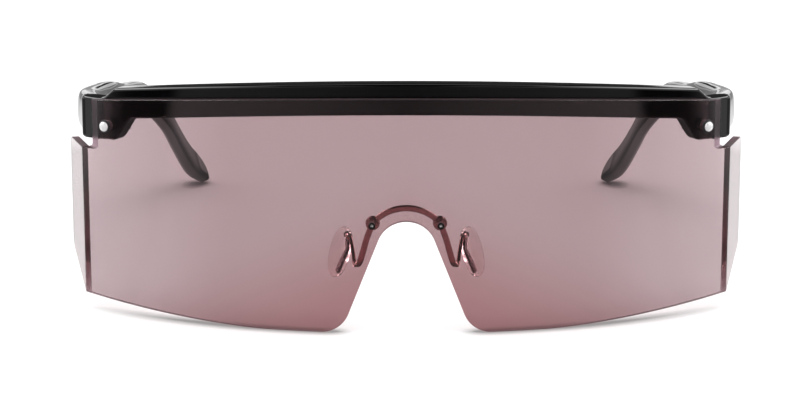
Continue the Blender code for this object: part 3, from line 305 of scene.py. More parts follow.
def ramp_step(low, high, value, ease):
    """From zero to one in a straight ramp whose two ends are eased over a share of it."""
    part = min(max((value - low) / (high - low), 0.0), 1.0)
    side = min(part, 1.0 - part)
    if side < ease:
        rise = side ** 2 / (2.0 * ease * (1.0 - ease))
    else:
        rise = (side - ease / 2) / (1.0 - ease)
    return rise if part < 0.5 else 1.0 - rise


def arc_drop(radius, run):
    """How far a circle has dropped below its top at a run from it."""
    return radius - math.sqrt(max(radius ** 2 - run ** 2, 0.0))


def curve_through(rows, where):
    """Read a smooth curve through rows of numbers at a place given in the rows' first column."""
    index = 0
    while index < len(rows) - 2 and where > rows[index + 1][0]:
        index += 1

    def slope(at, column):
        before = rows[max(at - 1, 0)]
        after = rows[min(at + 1, len(rows) - 1)]
        return (after[column] - before[column]) / (after[0] - before[0])

    start = rows[index]
    end = rows[index + 1]
    span = end[0] - start[0]
    t = (where - start[0]) / span
    values = []
    for column in range(1, len(start)):
        rise = end[column] - start[column]
        first = slope(index, column) * span
        last = slope(index + 1, column) * span
        bend = (3.0 * rise - 2.0 * first - last) * t ** 2 + (first + last - 2.0 * rise) * t ** 3
        values.append(start[column] + first * t + bend)
    return values


def rounded_loop(sides, roundness):
    """Points on a superellipse that reaches one unit to each side."""
    power = 2.0 / roundness
    points = []
    for index in range(sides):
        angle = 2.0 * math.pi * (index + 0.5) / sides
        x = math.copysign(abs(math.cos(angle)) ** power, math.cos(angle))
        y = math.copysign(abs(math.sin(angle)) ** power, math.sin(angle))
        points.append((x, y))
    return points


def arc_place(radius, angle, height=0.0):
    """A place on the front's curve, at a radius from its upright axis and an angle from the middle."""
    bend = settings().shield.bend_radius
    return Vector((radius * math.sin(angle), bend - radius * math.cos(angle), height))


def frame_from(origin, x_axis, y_axis, z_axis):
    matrix = Matrix((x_axis, y_axis, z_axis)).transposed().to_4x4()
    matrix.translation = origin
    return matrix


def front_frame(height):
    """A frame on the front curve's upright axis, whose Z points out through the middle of the shield."""
    origin = Vector((0.0, settings().shield.bend_radius, height))
    return frame_from(origin, ACROSS, UP, Vector((0.0, -1.0, 0.0)))


def pad_frame():
    """The left nose pad's frame: X towards the nose, Y to its front edge, Z up its long axis."""
    pad = settings().pad
    place = Matrix.Translation((pad.x, pad.depth, pad.centre))
    return place @ Matrix.Rotation(-pad.splay, 4, "Y") @ Matrix.Rotation(math.pi - pad.turn, 4, "Z")


def pad_pivot():
    pad = settings().pad
    return pad_frame() @ Vector((-pad.pivot_out, pad.pivot_front, pad.pivot_up))


def pivot_frame():
    """A frame at the left pad's pin, whose Z runs along the pin to the pad's front edge."""
    place = pad_frame() @ Matrix.Rotation(-math.pi / 2, 4, "X")
    place.translation = pad_pivot()
    return place


# Meshes

def mesh_from(bm, turn_out=True):
    if turn_out:
        bmesh.ops.recalc_face_normals(bm, faces=bm.faces)
    mesh = bpy.data.meshes.new("shape")
    bm.to_mesh(mesh)
    bm.free()
    return mesh


def skin(rings, closed=False):
    """A solid skinned over a row of rings: its ends are capped, or joined into a tube when closed."""
    bm = bmesh.new()
    rows = [[bm.verts.new(point) for point in ring] for ring in rings]
    pairs = list(zip(rows, rows[1:]))
    if closed:
        pairs.append((rows[-1], rows[0]))
    else:
        bm.faces.new(rows[0])
        bm.faces.new(rows[-1])
    for near, far in pairs:
        for index in range(len(near)):
            after = (index + 1) % len(near)
            bm.faces.new((near[index], near[after], far[after], far[index]))
    return mesh_from(bm)


def turned(place, profile, closed=False):
    """A turned solid about a frame's Z axis, from (radius, place along the axis) points."""
    rings = []
    for radius, along in profile:
        ring = []
        for index in range(ROUND_SIDES):
            angle = 2.0 * math.pi * (index + 0.5) / ROUND_SIDES
            ring.append(place @ Vector((radius * math.cos(angle), radius * math.sin(angle), along)))
        rings.append(ring)
    return skin(rings, closed)


def rod(place, radius, low, high):
    return turned(place, ((radius, low), (radius, high)))


def tube(place, outer, inner, low, high):
    return turned(place, ((inner, low), (outer, low), (outer, high), (inner, high)), closed=True)


def joined(meshes):
    """Several closed shapes in one mesh."""
    bm = bmesh.new()
    for mesh in meshes:
        bm.from_mesh(mesh)
    return mesh_from(bm, turn_out=False)


def mirrored(mesh):
    copy = mesh.copy()
    copy.transform(Matrix.Scale(-1.0, 4, ACROSS))
    copy.flip_normals()
    return copy


def new_object(name, mesh):
    made = bpy.data.objects.new(name, mesh)
    bpy.context.scene.collection.objects.link(made)
    return made


def settle(piece):
    """Turn a piece with its modifiers into a plain mesh."""
    depsgraph = bpy.context.evaluated_depsgraph_get()
    mesh = bpy.data.meshes.new_from_object(piece.evaluated_get(depsgraph), depsgraph=depsgraph)
    piece.modifiers.clear()
    piece.data = mesh
    return piece


def cut(piece, tools):
    """Cut tools from a piece."""
    helpers = [new_object("tool", tool) for tool in tools]
    for helper in helpers:
        modifier = piece.modifiers.new("cut", "BOOLEAN")
        modifier.operation = "DIFFERENCE"
        modifier.object = helper
    settle(piece)
    for helper in helpers:
        bpy.data.objects.remove(helper, do_unlink=True)


def round_edges(piece, radius):
    """Round a piece's creases and shade the rest smooth."""
    if radius > 0.0:
        bevel = piece.modifiers.new("edges", "BEVEL")
        bevel.width = radius
        bevel.segments = BEVEL_STEPS
        bevel.limit_method = "ANGLE"
        bevel.angle_limit = CREASE_ANGLE
        bevel.use_clamp_overlap = False
    piece.data.shade_smooth()
    normals = piece.modifiers.new("normals", "WEIGHTED_NORMAL")
    normals.weight = FULL_WEIGHT
    settle(piece)


def finish(piece, body, look, nodes=(), move=True):
    """Move a piece to its place, paint it and make it ride on its body for the nodes that it stands for."""
    if len(piece.data.polygons) == 0:
        raise RuntimeError(piece.name + " has no faces")
    if move:
        piece.data.transform(Matrix.Translation(FRONT_PLACE))
    piece.data.name = piece.name
    piece.data.materials.clear()
    piece.data.materials.append(look)
    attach(piece, body)
    if nodes:
        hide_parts(*nodes)
    return piece


def finer_copy(node, body, look, radius):
    """A merged copy of a plain node with rounded edges, which stands for it."""
    bm = bmesh.new()
    bm.from_mesh(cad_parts[node].data)
    bmesh.ops.remove_doubles(bm, verts=bm.verts, dist=WELD)
    bmesh.ops.dissolve_limit(bm, angle_limit=FLAT_ANGLE, verts=bm.verts, edges=bm.edges)
    piece = new_object(node + "_finished", mesh_from(bm, turn_out=False))
    round_edges(piece, radius)
    return finish(piece, body, look, [node], move=False)


# Node trees

def add_node(tree, kind, values=None, **options):
    """A node with its options, and its inputs set to values or linked to sockets."""
    node = tree.nodes.new(kind)
    for key, value in options.items():
        setattr(node, key, value)
    for key, value in (values or {}).items():
        if isinstance(value, bpy.types.NodeSocket):
            tree.links.new(value, node.inputs[key])
        else:
            node.inputs[key].default_value = value
    return node


def calc(tree, operation, *values):
    """The result of one step of arithmetic in a tree."""
    node = add_node(tree, "ShaderNodeMath", dict(enumerate(values)), operation=operation)
    return node.outputs[0]


def ramp(tree, value, low, high, start=0.0, end=1.0, smooth=False):
    """A value that runs from start to end while another one runs from low to high."""
    values = {"Value": value, "From Min": low, "From Max": high, "To Min": start, "To Max": end}
    kind = "SMOOTHSTEP" if smooth else "LINEAR"
    return add_node(tree, "ShaderNodeMapRange", values, interpolation_type=kind).outputs[0]


def parts_of(tree, source, output):
    """The X, Y and Z sockets of a node's vector output."""
    vector = add_node(tree, source).outputs[output]
    return add_node(tree, "ShaderNodeSeparateXYZ", {0: vector}).outputs


def open_tree(name, kind, inputs, outputs):
    """A new node tree with named sockets, given as (name, socket type) or (name, socket type, default)."""
    tree = bpy.data.node_groups.new(name, kind)
    for way, sockets in (("INPUT", inputs), ("OUTPUT", outputs)):
        for title, socket_type, *default in sockets:
            socket = tree.interface.new_socket(title, in_out=way, socket_type=socket_type)
            if default:
                socket.default_value = default[0]
    start = tree.nodes.new("NodeGroupInput")
    end = tree.nodes.new("NodeGroupOutput")
    return tree, start.outputs, end


def run_tree(piece, tree, values):
    """Run a geometry tree on a piece with values for its named inputs, and keep the result as its mesh."""
    modifier = piece.modifiers.new(tree.name, "NODES")
    modifier.node_group = tree
    for item in tree.interface.items_tree:
        if item.in_out == "INPUT" and item.name in values:
            modifier[item.identifier] = values[item.name]
    return settle(piece)


def close_tree(tree, end, geometry, look):
    """End a geometry tree with real geometry that carries its material."""
    real = add_node(tree, "GeometryNodeRealizeInstances", {0: geometry})
    painted = add_node(tree, "GeometryNodeSetMaterial", {"Geometry": real.outputs[0], "Material": look})
    tree.links.new(painted.outputs[0], end.inputs[0])


def bent_shield_tree():
    """Bends a flat sheet round an upright cylinder, with a flat wing past a sharp corner on each side."""
    shield = settings().shield
    tree, given, end = open_tree(
        "Bent shield",
        "GeometryNodeTree",
        (
            ("Flat sheet", "NodeSocketGeometry"),
            ("Bend radius", "NodeSocketFloat", shield.bend_radius),
            ("Thickness", "NodeSocketFloat", shield.thickness),
            ("Corner reach", "NodeSocketFloat"),
            ("Wing flare", "NodeSocketFloat", shield.wing_flare),
            ("Material", "NodeSocketMaterial"),
        ),
        (("Shield", "NodeSocketGeometry"),),
    )
    radius = given["Bend radius"]
    flare = given["Wing flare"]
    reach = given["Corner reach"]
    offset = add_node(tree, "ShaderNodeCombineXYZ", {"Y": given["Thickness"]})
    back = add_node(tree, "GeometryNodeFlipFaces", {"Mesh": given["Flat sheet"]})
    walls = add_node(
        tree,
        "GeometryNodeExtrudeMesh",
        {"Mesh": back.outputs[0], "Offset": offset.outputs[0], "Offset Scale": 1.0, "Individual": False},
    )
    marked = add_node(
        tree,
        "GeometryNodeStoreNamedAttribute",
        {
            "Geometry": walls.outputs["Mesh"],
            "Selection": walls.outputs["Side"],
            "Name": "cut_edge",
            "Value": 1.0,
        },
        data_type="FLOAT",
        domain="FACE",
    )
    both = add_node(tree, "GeometryNodeJoinGeometry")
    tree.links.new(marked.outputs[0], both.inputs[0])
    tree.links.new(given["Flat sheet"], both.inputs[0])
    slab = add_node(tree, "GeometryNodeMergeByDistance", {"Geometry": both.outputs[0], "Distance": WELD})

    place = parts_of(tree, "GeometryNodeInputPosition", 0)
    side = calc(tree, "SIGN", place["X"])
    run = calc(tree, "ABSOLUTE", place["X"])
    depth = place["Y"]
    angle = calc(tree, "DIVIDE", run, radius)
    inner = calc(tree, "SUBTRACT", radius, depth)
    arc_x = calc(tree, "MULTIPLY", inner, calc(tree, "SINE", angle))
    arc_y = calc(tree, "SUBTRACT", radius, calc(tree, "MULTIPLY", inner, calc(tree, "COSINE", angle)))

    corner = calc(tree, "DIVIDE", reach, radius)
    corner_x = calc(tree, "MULTIPLY", radius, calc(tree, "SINE", corner))
    corner_y = calc(tree, "SUBTRACT", radius, calc(tree, "MULTIPLY", radius, calc(tree, "COSINE", corner)))
    bend = calc(tree, "SUBTRACT", calc(tree, "SUBTRACT", math.pi / 2, flare), corner)
    mitre = calc(tree, "MULTIPLY", depth, calc(tree, "TANGENT", calc(tree, "MULTIPLY", bend, 0.5)))
    along = calc(tree, "MAXIMUM", calc(tree, "SUBTRACT", run, reach), mitre)
    sine = calc(tree, "SINE", flare)
    cosine = calc(tree, "COSINE", flare)
    wing_x = calc(tree, "ADD", corner_x, calc(tree, "MULTIPLY", along, sine))
    wing_x = calc(tree, "SUBTRACT", wing_x, calc(tree, "MULTIPLY", depth, cosine))
    wing_y = calc(tree, "ADD", corner_y, calc(tree, "MULTIPLY", along, cosine))
    wing_y = calc(tree, "ADD", wing_y, calc(tree, "MULTIPLY", depth, sine))

    on_wing = calc(tree, "GREATER_THAN", run, calc(tree, "SUBTRACT", reach, WELD))
    across = calc(tree, "MULTIPLY_ADD", on_wing, calc(tree, "SUBTRACT", wing_x, arc_x), arc_x)
    deep = calc(tree, "MULTIPLY_ADD", on_wing, calc(tree, "SUBTRACT", wing_y, arc_y), arc_y)
    across = calc(tree, "MULTIPLY", across, side)
    bent = add_node(tree, "ShaderNodeCombineXYZ", {"X": across, "Y": deep, "Z": place["Z"]})
    moved = add_node(
        tree, "GeometryNodeSetPosition", {"Geometry": slab.outputs[0], "Position": bent.outputs[0]}
    )
    close_tree(tree, end, moved.outputs[0], given["Material"])
    return tree


def both_sides_tree():
    """Sets a piece at the left and at the right of the bent front, turned about its upright axis."""
    tree, given, end = open_tree(
        "Both sides of the front",
        "GeometryNodeTree",
        (
            ("Piece", "NodeSocketGeometry"),
            ("Bend radius", "NodeSocketFloat", settings().shield.bend_radius),
            ("Angle", "NodeSocketFloat"),
            ("Material", "NodeSocketMaterial"),
        ),
        (("Pair", "NodeSocketGeometry"),),
    )
    axis = add_node(tree, "ShaderNodeCombineXYZ", {"Y": given["Bend radius"]}).outputs[0]
    points = add_node(tree, "GeometryNodePoints", {"Count": 2, "Position": axis})
    index = add_node(tree, "GeometryNodeInputIndex").outputs[0]
    side = calc(tree, "MULTIPLY_ADD", index, 2.0, -1.0)
    angle = calc(tree, "MULTIPLY", side, given["Angle"])
    rotation = add_node(tree, "FunctionNodeAxisAngleToRotation", {"Axis": UP, "Angle": angle})
    back = add_node(tree, "ShaderNodeVectorMath", {0: axis}, operation="SCALE")
    back.inputs["Scale"].default_value = -1.0
    centred = add_node(
        tree, "GeometryNodeSetPosition", {"Geometry": given["Piece"], "Offset": back.outputs[0]}
    )
    pair = add_node(
        tree,
        "GeometryNodeInstanceOnPoints",
        {"Points": points.outputs[0], "Instance": centred.outputs[0], "Rotation": rotation.outputs[0]},
    )
    close_tree(tree, end, pair.outputs[0], given["Material"])
    return tree


# Share of the strip's depth that a tooth has, and share of its width that a tooth stands aside
TOOTH_DEPTH_SHARE = 0.9
TOOTH_ASIDE_SHARE = 0.6


def toothed_strip_tree():
    """Sets a row of small teeth along a path, at the outer edge of the strip that runs there."""
    pad = settings().pad
    tree, given, end = open_tree(
        "Toothed strip",
        "GeometryNodeTree",
        (
            ("Path", "NodeSocketGeometry"),
            ("Width", "NodeSocketFloat", pad.insert_width),
            ("Depth", "NodeSocketFloat", pad.insert_depth),
            ("Pitch", "NodeSocketFloat", pad.tooth_pitch),
            ("Tooth side", "NodeSocketVector"),
            ("Flat side", "NodeSocketVector"),
            ("Material", "NodeSocketMaterial"),
        ),
        (("Strip", "NodeSocketGeometry"),),
    )
    path = add_node(tree, "GeometryNodeMeshToCurve", {"Mesh": given["Path"]}).outputs[0]
    spacing = {"Curve": path, "Length": given["Pitch"]}
    rows = add_node(tree, "GeometryNodeResampleCurve", spacing, mode="LENGTH")
    tangent = add_node(tree, "GeometryNodeInputTangent").outputs[0]
    rotation = add_node(
        tree, "FunctionNodeAxesToRotation",
        {"Primary Axis": tangent, "Secondary Axis": given["Flat side"]},
        primary_axis="Z", secondary_axis="X",
    )
    half = calc(tree, "MULTIPLY", given["Pitch"], 0.5)
    deep = calc(tree, "MULTIPLY", given["Depth"], TOOTH_DEPTH_SHARE)
    size = add_node(tree, "ShaderNodeCombineXYZ", {"X": deep, "Y": half, "Z": half})
    tooth = add_node(tree, "GeometryNodeMeshCube", {"Size": size.outputs[0]})
    reach = calc(tree, "MULTIPLY", given["Width"], TOOTH_ASIDE_SHARE)
    aside = add_node(tree, "ShaderNodeVectorMath", {0: given["Tooth side"]}, operation="SCALE")
    tree.links.new(reach, aside.inputs["Scale"])
    shifted = add_node(
        tree, "GeometryNodeSetPosition", {"Geometry": rows.outputs[0], "Offset": aside.outputs[0]}
    )
    teeth = add_node(
        tree,
        "GeometryNodeInstanceOnPoints",
        {"Points": shifted.outputs[0], "Instance": tooth.outputs[0], "Rotation": rotation.outputs[0]},
    )
    close_tree(tree, end, teeth.outputs[0], given["Material"])
    return tree


# Shader groups and materials

# Smears: their scale and pattern, and where they start and are full in it
SMEAR_SCALE = 90.0
SMEAR_NOISE = {"Detail": 3.0, "Roughness": 0.55, "Distortion": 0.6}
SMEAR_RANGE = (0.35, 0.75)

# Hairlines: their scale, how they are stretched, and how high they stand
HAIRLINE_SCALE = 900.0
HAIRLINE_STRETCH = (1.0, 0.12, 1.0)
HAIRLINE_NOISE = {"Detail": 4.0}
HAIRLINE_HEIGHT = 0.00002

# Wear: the sharpness where it starts, how far past that it is full, its pattern, and how bright it is
WEAR_SHARPNESS = 0.56
WEAR_WIDTH = 0.08
WEAR_NOISE = {"Scale": 1400.0, "Detail": 3.0}
WORN_GAIN = 1.3

# Share of the light that clear plastic lets through
CLEAR_THROUGH = 0.85
# Where the painted glint at the bottom of a socket ends, in shares of the socket's radius
SOCKET_GLINT_SHARES = (0.6, 0.9)
RING_WORN_TINT = (0.12, 0.12, 0.12)
ACETATE_WORN_TINT = (0.008, 0.008, 0.010)


def handled_surface_group():
    """Faint smears from handling, as a roughness that varies, and a height for fine hairlines."""
    tree, given, end = open_tree(
        "Handled surface",
        "ShaderNodeTree",
        (
            ("Roughness", "NodeSocketFloat", 0.1),
            ("Smear", "NodeSocketFloat", 0.05),
            ("Smear scale", "NodeSocketFloat", SMEAR_SCALE),
            ("Hairline scale", "NodeSocketFloat", HAIRLINE_SCALE),
        ),
        (("Roughness", "NodeSocketFloat"), ("Height", "NodeSocketFloat")),
    )
    place = add_node(tree, "ShaderNodeTexCoord").outputs["Object"]
    values = {"Vector": place, "Scale": given["Smear scale"], **SMEAR_NOISE}
    smears = add_node(tree, "ShaderNodeTexNoise", values)
    lifted = ramp(tree, smears.outputs[0], *SMEAR_RANGE)
    rough = calc(tree, "MULTIPLY_ADD", lifted, given["Smear"], given["Roughness"])
    stretched = add_node(tree, "ShaderNodeMapping", {"Vector": place, "Scale": HAIRLINE_STRETCH})
    values = {"Vector": stretched.outputs[0], "Scale": given["Hairline scale"], **HAIRLINE_NOISE}
    hairlines = add_node(tree, "ShaderNodeTexNoise", values)
    tree.links.new(rough, end.inputs["Roughness"])
    tree.links.new(hairlines.outputs[0], end.inputs["Height"])
    return tree


def edge_wear_group():
    """A mask for edges that have been rubbed: where the surface is sharpest, broken up by a fine pattern."""
    tree, given, end = open_tree(
        "Edge wear",
        "ShaderNodeTree",
        (("Sharpness", "NodeSocketFloat", WEAR_SHARPNESS), ("Wear", "NodeSocketFloat")),
        (("Mask", "NodeSocketFloat"),),
    )
    sharp = add_node(tree, "ShaderNodeNewGeometry").outputs["Pointiness"]
    top = calc(tree, "ADD", given["Sharpness"], WEAR_WIDTH)
    edge = ramp(tree, sharp, given["Sharpness"], top)
    place = add_node(tree, "ShaderNodeTexCoord").outputs["Object"]
    broken = add_node(tree, "ShaderNodeTexNoise", {"Vector": place, **WEAR_NOISE})
    mask = calc(tree, "MULTIPLY", calc(tree, "MULTIPLY", edge, broken.outputs[0]), given["Wear"])
    tree.links.new(mask, end.inputs["Mask"])
    return tree


def start_material(name, tint, values):
    """A material with its Principled shader set, ready for its patterns."""
    made = bpy.data.materials.new(name)
    made.use_nodes = True
    made.diffuse_color = (*tint, 1.0)
    shader = made.node_tree.nodes["Principled BSDF"]
    shader.inputs["Base Color"].default_value = (*tint, 1.0)
    for key, value in values.items():
        shader.inputs[key].default_value = value
    return made, made.node_tree, shader


def handle(tree, shader, rough, smear, bump=0.0, smear_scale=SMEAR_SCALE, hairline_scale=HAIRLINE_SCALE):
    """Give a material its handled surface."""
    node = add_node(
        tree,
        "ShaderNodeGroup",
        {"Roughness": rough, "Smear": smear, "Smear scale": smear_scale, "Hairline scale": hairline_scale},
        node_tree=bpy.data.node_groups["Handled surface"],
    )
    tree.links.new(node.outputs["Roughness"], shader.inputs["Roughness"])
    if bump > 0.0:
        values = {"Height": node.outputs["Height"], "Strength": bump, "Distance": HAIRLINE_HEIGHT}
        made = add_node(tree, "ShaderNodeBump", values)
        tree.links.new(made.outputs[0], shader.inputs["Normal"])


def mixed_tint(tree, factor, first, second):
    """A colour between two tints, each of them three numbers or a socket."""
    node = add_node(tree, "ShaderNodeMix", {"Factor": factor}, data_type="RGBA")
    for index, tint in ((6, first), (7, second)):
        if isinstance(tint, bpy.types.NodeSocket):
            tree.links.new(tint, node.inputs[index])
        else:
            node.inputs[index].default_value = (*tint, 1.0)
    return node.outputs[2]


def worn(tree, shader, tint, worn_tint, wear):
    """Blend a worn tint into a material's edges."""
    values = {"Sharpness": WEAR_SHARPNESS, "Wear": wear}
    mask = add_node(tree, "ShaderNodeGroup", values, node_tree=bpy.data.node_groups["Edge wear"])
    mixed = mixed_tint(tree, mask.outputs["Mask"], tint, worn_tint)
    tree.links.new(mixed, shader.inputs["Base Color"])


def light_that_passes(tree, share_through):
    """What a ray is, and the share of shadow and diffuse rays that a clear piece lets through."""
    ray = add_node(tree, "ShaderNodeLightPath").outputs
    kind = calc(tree, "MAXIMUM", ray["Is Shadow Ray"], ray["Is Diffuse Ray"])
    return ray, calc(tree, "MULTIPLY", kind, share_through)


def black_acetate():
    tint = tuple(settings().bar.acetate)
    made, tree, shader = start_material("glossy_acetate", tint, {"IOR": 1.48})
    handle(tree, shader, rough=0.035, smear=0.04, bump=0.04)
    worn(tree, shader, tint, ACETATE_WORN_TINT, wear=0.2)
    return made


def rose_shield():
    """Clear sheet with a rose tint that is lighter towards the wings, with painted shade: darker and rosier
    low down, and darker along its cut edges.
    """
    shield = settings().shield
    values = {"Transmission Weight": 1.0, "IOR": 1.58}
    made, tree, shader = start_material("rose_sheet", tuple(shield.upper_tint), values)
    parts = parts_of(tree, "ShaderNodeTexCoord", "Object")
    aside = calc(tree, "ABSOLUTE", parts["X"])
    height = calc(tree, "MULTIPLY_ADD", aside, shield.lower_shade_tilt, parts["Z"])
    # Painted shade low down, fading out upwards and reaching less high towards the wings.
    low = ramp(tree, height, shield.lower_shade_start, shield.lower_shade_end, start=1.0, end=0.0, smooth=True)
    outward = ramp(tree, aside, shield.side_start, shield.half_width, smooth=True)
    tint = mixed_tint(tree, outward, tuple(shield.upper_tint), tuple(shield.side_tint))
    tint = mixed_tint(tree, low, tint, tuple(shield.lower_shade_tint))
    cut_edge = add_node(tree, "ShaderNodeAttribute", attribute_name="cut_edge").outputs["Fac"]
    # Painted shade on the cut edges: a darker tint there.
    tree.links.new(mixed_tint(tree, cut_edge, tint, tuple(shield.cut_shade_tint)), shader.inputs["Base Color"])
    tree.links.new(calc(tree, "MULTIPLY", cut_edge, shield.cut_roughness), shader.inputs["Roughness"])
    ray, passes = light_that_passes(tree, shield.light_through)
    held_in = calc(tree, "GREATER_THAN", ray["Glossy Depth"], shield.held_turns)
    held_in = calc(tree, "MULTIPLY", held_in, shield.held_through)
    alpha = calc(tree, "SUBTRACT", 1.0, calc(tree, "MAXIMUM", passes, held_in))
    tree.links.new(alpha, shader.inputs["Alpha"])
    inside = add_node(
        tree, "ShaderNodeVolumeAbsorption", {"Color": (*shield.depth_tint, 1.0), "Density": shield.density}
    )
    output = tree.nodes["Material Output"]
    tree.links.new(inside.outputs[0], output.inputs["Volume"])
    return made


def polished_metal(name, tint, rough, smear=0.05, bump=0.08, metallic=1.0):
    made, tree, shader = start_material(name, tint, {"Metallic": metallic})
    handle(tree, shader, rough, smear, bump=bump, smear_scale=260.0, hairline_scale=2600.0)
    brighter = tuple(min(value * WORN_GAIN, 1.0) for value in tint)
    worn(tree, shader, tint, brighter, wear=0.6)
    return made


def socket_screw():
    """Dark screws, whose round sockets have a painted glint at the bottom."""
    bridge = settings().bridge
    tint = tuple(bridge.screw_metal)
    made, tree, shader = start_material("dark_screws", tint, {"Metallic": 1.0})
    handle(tree, shader, rough=0.22, smear=0.03, smear_scale=400.0)
    parts = parts_of(tree, "ShaderNodeTexCoord", "Object")
    # Painted glint: bright colour at the bottom of each socket, round the eyelet's middle.
    aside = calc(tree, "SUBTRACT", calc(tree, "ABSOLUTE", parts["X"]), bridge.eyelet_x)
    up = calc(tree, "SUBTRACT", parts["Z"], bridge.eyelet_height)
    squares = [calc(tree, "POWER", value, 2.0) for value in (aside, up)]
    away = calc(tree, "SQRT", calc(tree, "ADD", *squares))
    low, high = [bridge.socket_radius * part for part in SOCKET_GLINT_SHARES]
    glint = ramp(tree, away, low, high, start=1.0, end=0.0)
    tree.links.new(mixed_tint(tree, glint, tint, tuple(bridge.socket_glint)), shader.inputs["Base Color"])
    return made


def dark_ring():
    tint = tuple(settings().fastener.ring)
    made, tree, shader = start_material("blackened_ring", tint, {"IOR": 1.5})
    handle(tree, shader, rough=0.3, smear=0.1, bump=0.1, smear_scale=400.0)
    worn(tree, shader, tint, RING_WORN_TINT, wear=0.5)
    return made


def clear_plastic(name, tint, rough, ior):
    """Clear moulded plastic, which lets most light pass on to what stands behind."""
    made, tree, shader = start_material(name, tint, {"Transmission Weight": 1.0, "IOR": ior})
    handle(tree, shader, rough, smear=0.06, bump=0.05, smear_scale=300.0)
    _, passes = light_that_passes(tree, CLEAR_THROUGH)
    alpha = calc(tree, "SUBTRACT", 1.0, passes)
    tree.links.new(alpha, shader.inputs["Alpha"])
    return made


def make_looks():
    """Every group and material, built once."""
    bridge = settings().bridge
    fastener = settings().fastener
    silver = tuple(fastener.silver)
    silicone = tuple(settings().pad.silicone)
    handled_surface_group()
    edge_wear_group()
    return {
        "black_acetate": black_acetate(),
        "rose_shield": rose_shield(),
        "bridge_metal": polished_metal("polished_bridge", tuple(bridge.metal), rough=0.16),
        "steel": polished_metal("plain_steel", tuple(fastener.steel), rough=0.24, smear=0.1),
        "silver": polished_metal("polished_dome", silver, rough=0.08, smear=0.03, bump=0.02, metallic=0.4),
        "screw_metal": socket_screw(),
        "insert_metal": polished_metal("dark_insert", tuple(bridge.insert_metal), rough=0.2),
        "dark_ring": dark_ring(),
        "clear_nylon": clear_plastic("moulded_nylon", tuple(fastener.nylon), rough=0.18, ior=1.45),
        "clear_silicone": clear_plastic("soft_silicone", silicone, rough=0.06, ior=1.16),
    }


LOOKS = {}


def look(name):
    if not LOOKS:
        LOOKS.update(make_looks())
    return LOOKS[name]


# Shield

# Steps along the nose cut-out, the front and the wing
APEX_STEPS = 14
FLANK_STEPS = 8
FOOT_STEPS = 12
REST_STEPS = 9
FRONT_STEPS = 40
WING_STEPS = 10
WING_CORNER_STEPS = 7
FILLET_STEPS = 6


def shield_foot(shield):
    """Places where the nose cut-out's arc, flank and foot meet."""
    flank = shield.nose_flank
    apex_x = shield.apex_radius * math.sin(flank)
    apex_z = shield.nose_height - shield.apex_radius * (1.0 - math.cos(flank))
    foot_x = apex_x + apex_z / math.tan(flank)
    run = shield.foot_radius * math.tan(flank / 2)
    return apex_x, foot_x, foot_x - run * math.cos(flank), foot_x + run


def shield_bottom(shield, x):
    apex_x, foot_x, start_x, end_x = shield_foot(shield)
    if x < apex_x:
        return shield.nose_height - arc_drop(shield.apex_radius, x)
    if x < start_x:
        return (foot_x - x) * math.tan(shield.nose_flank)
    if x < end_x:
        return arc_drop(shield.foot_radius, end_x - x)
    part = max(x - shield.rest_end, 0.0) / (shield.half_width - shield.rest_end)
    return shield.corner_rise * part ** shield.bottom_power


def shield_columns(shield):
    """Columns of the flat shield's left half: reach along the bend, then the heights of its points."""
    radius = shield.bend_radius
    flank = shield.nose_flank
    apex_x, _, start_x, end_x = shield_foot(shield)
    notch_x = shield.half_width - shield.notch_width / 2
    places = [shield.apex_radius * math.sin(angle) for angle in spread(0.0, flank, APEX_STEPS)]
    places += spread(apex_x, start_x, FLANK_STEPS)[1:]
    places += [end_x - shield.foot_radius * math.sin(angle) for angle in spread(flank, 0.0, FOOT_STEPS)[1:]]
    places += spread(end_x, shield.rest_end, REST_STEPS)[1:]
    places += spread(shield.rest_end, notch_x, FRONT_STEPS)[1:]
    columns = []
    for x in places:
        top = shield.height - shield.top_drop * (x / notch_x) ** 2
        columns.append((radius * math.asin(x / radius), [shield_bottom(shield, x), top]))
    corner = radius * math.asin(shield.half_width / radius)
    columns.append((corner, [shield.corner_rise, shield.notch_height]))
    end_start = shield.wing_length - shield.wing_corner
    along = spread(0.0, end_start, WING_STEPS)[1:]
    for angle in spread(0.0, math.pi / 2, WING_CORNER_STEPS)[1:]:
        along.append(end_start + shield.wing_corner * math.sin(angle))
    for reach in along:
        part = reach / shield.wing_length
        trim = arc_drop(shield.wing_corner, max(reach - end_start, 0.0))
        low = shield.corner_rise + (shield.wing_rear_bottom - shield.corner_rise) * part + trim
        high = shield.notch_height + (shield.wing_rear_top - shield.notch_height) * part - trim
        columns.append((corner + reach, [low, high]))
    return corner, columns


def flat_shield(columns):
    """The shield's outline as one flat sheet of upright strips, which faces the front."""
    whole = [(-reach, heights) for reach, heights in columns[:0:-1]] + columns
    bm = bmesh.new()
    rows = [[bm.verts.new((reach, 0.0, height)) for height in heights] for reach, heights in whole]
    for near, far in zip(rows, rows[1:]):
        bm.faces.new((near[0], far[0], far[1], near[1]))
    return mesh_from(bm, turn_out=False)


def front_angle(x):
    return math.asin(x / settings().shield.bend_radius)


def turned_front_frame(x, height):
    """A frame on the front curve's axis, whose Z points out through the shield at a place across it."""
    shift = Vector((0.0, settings().shield.bend_radius, 0.0))
    turning = Matrix.Translation(shift) @ Matrix.Rotation(front_angle(x), 4, "Z") @ Matrix.Translation(-shift)
    return turning @ front_frame(height)


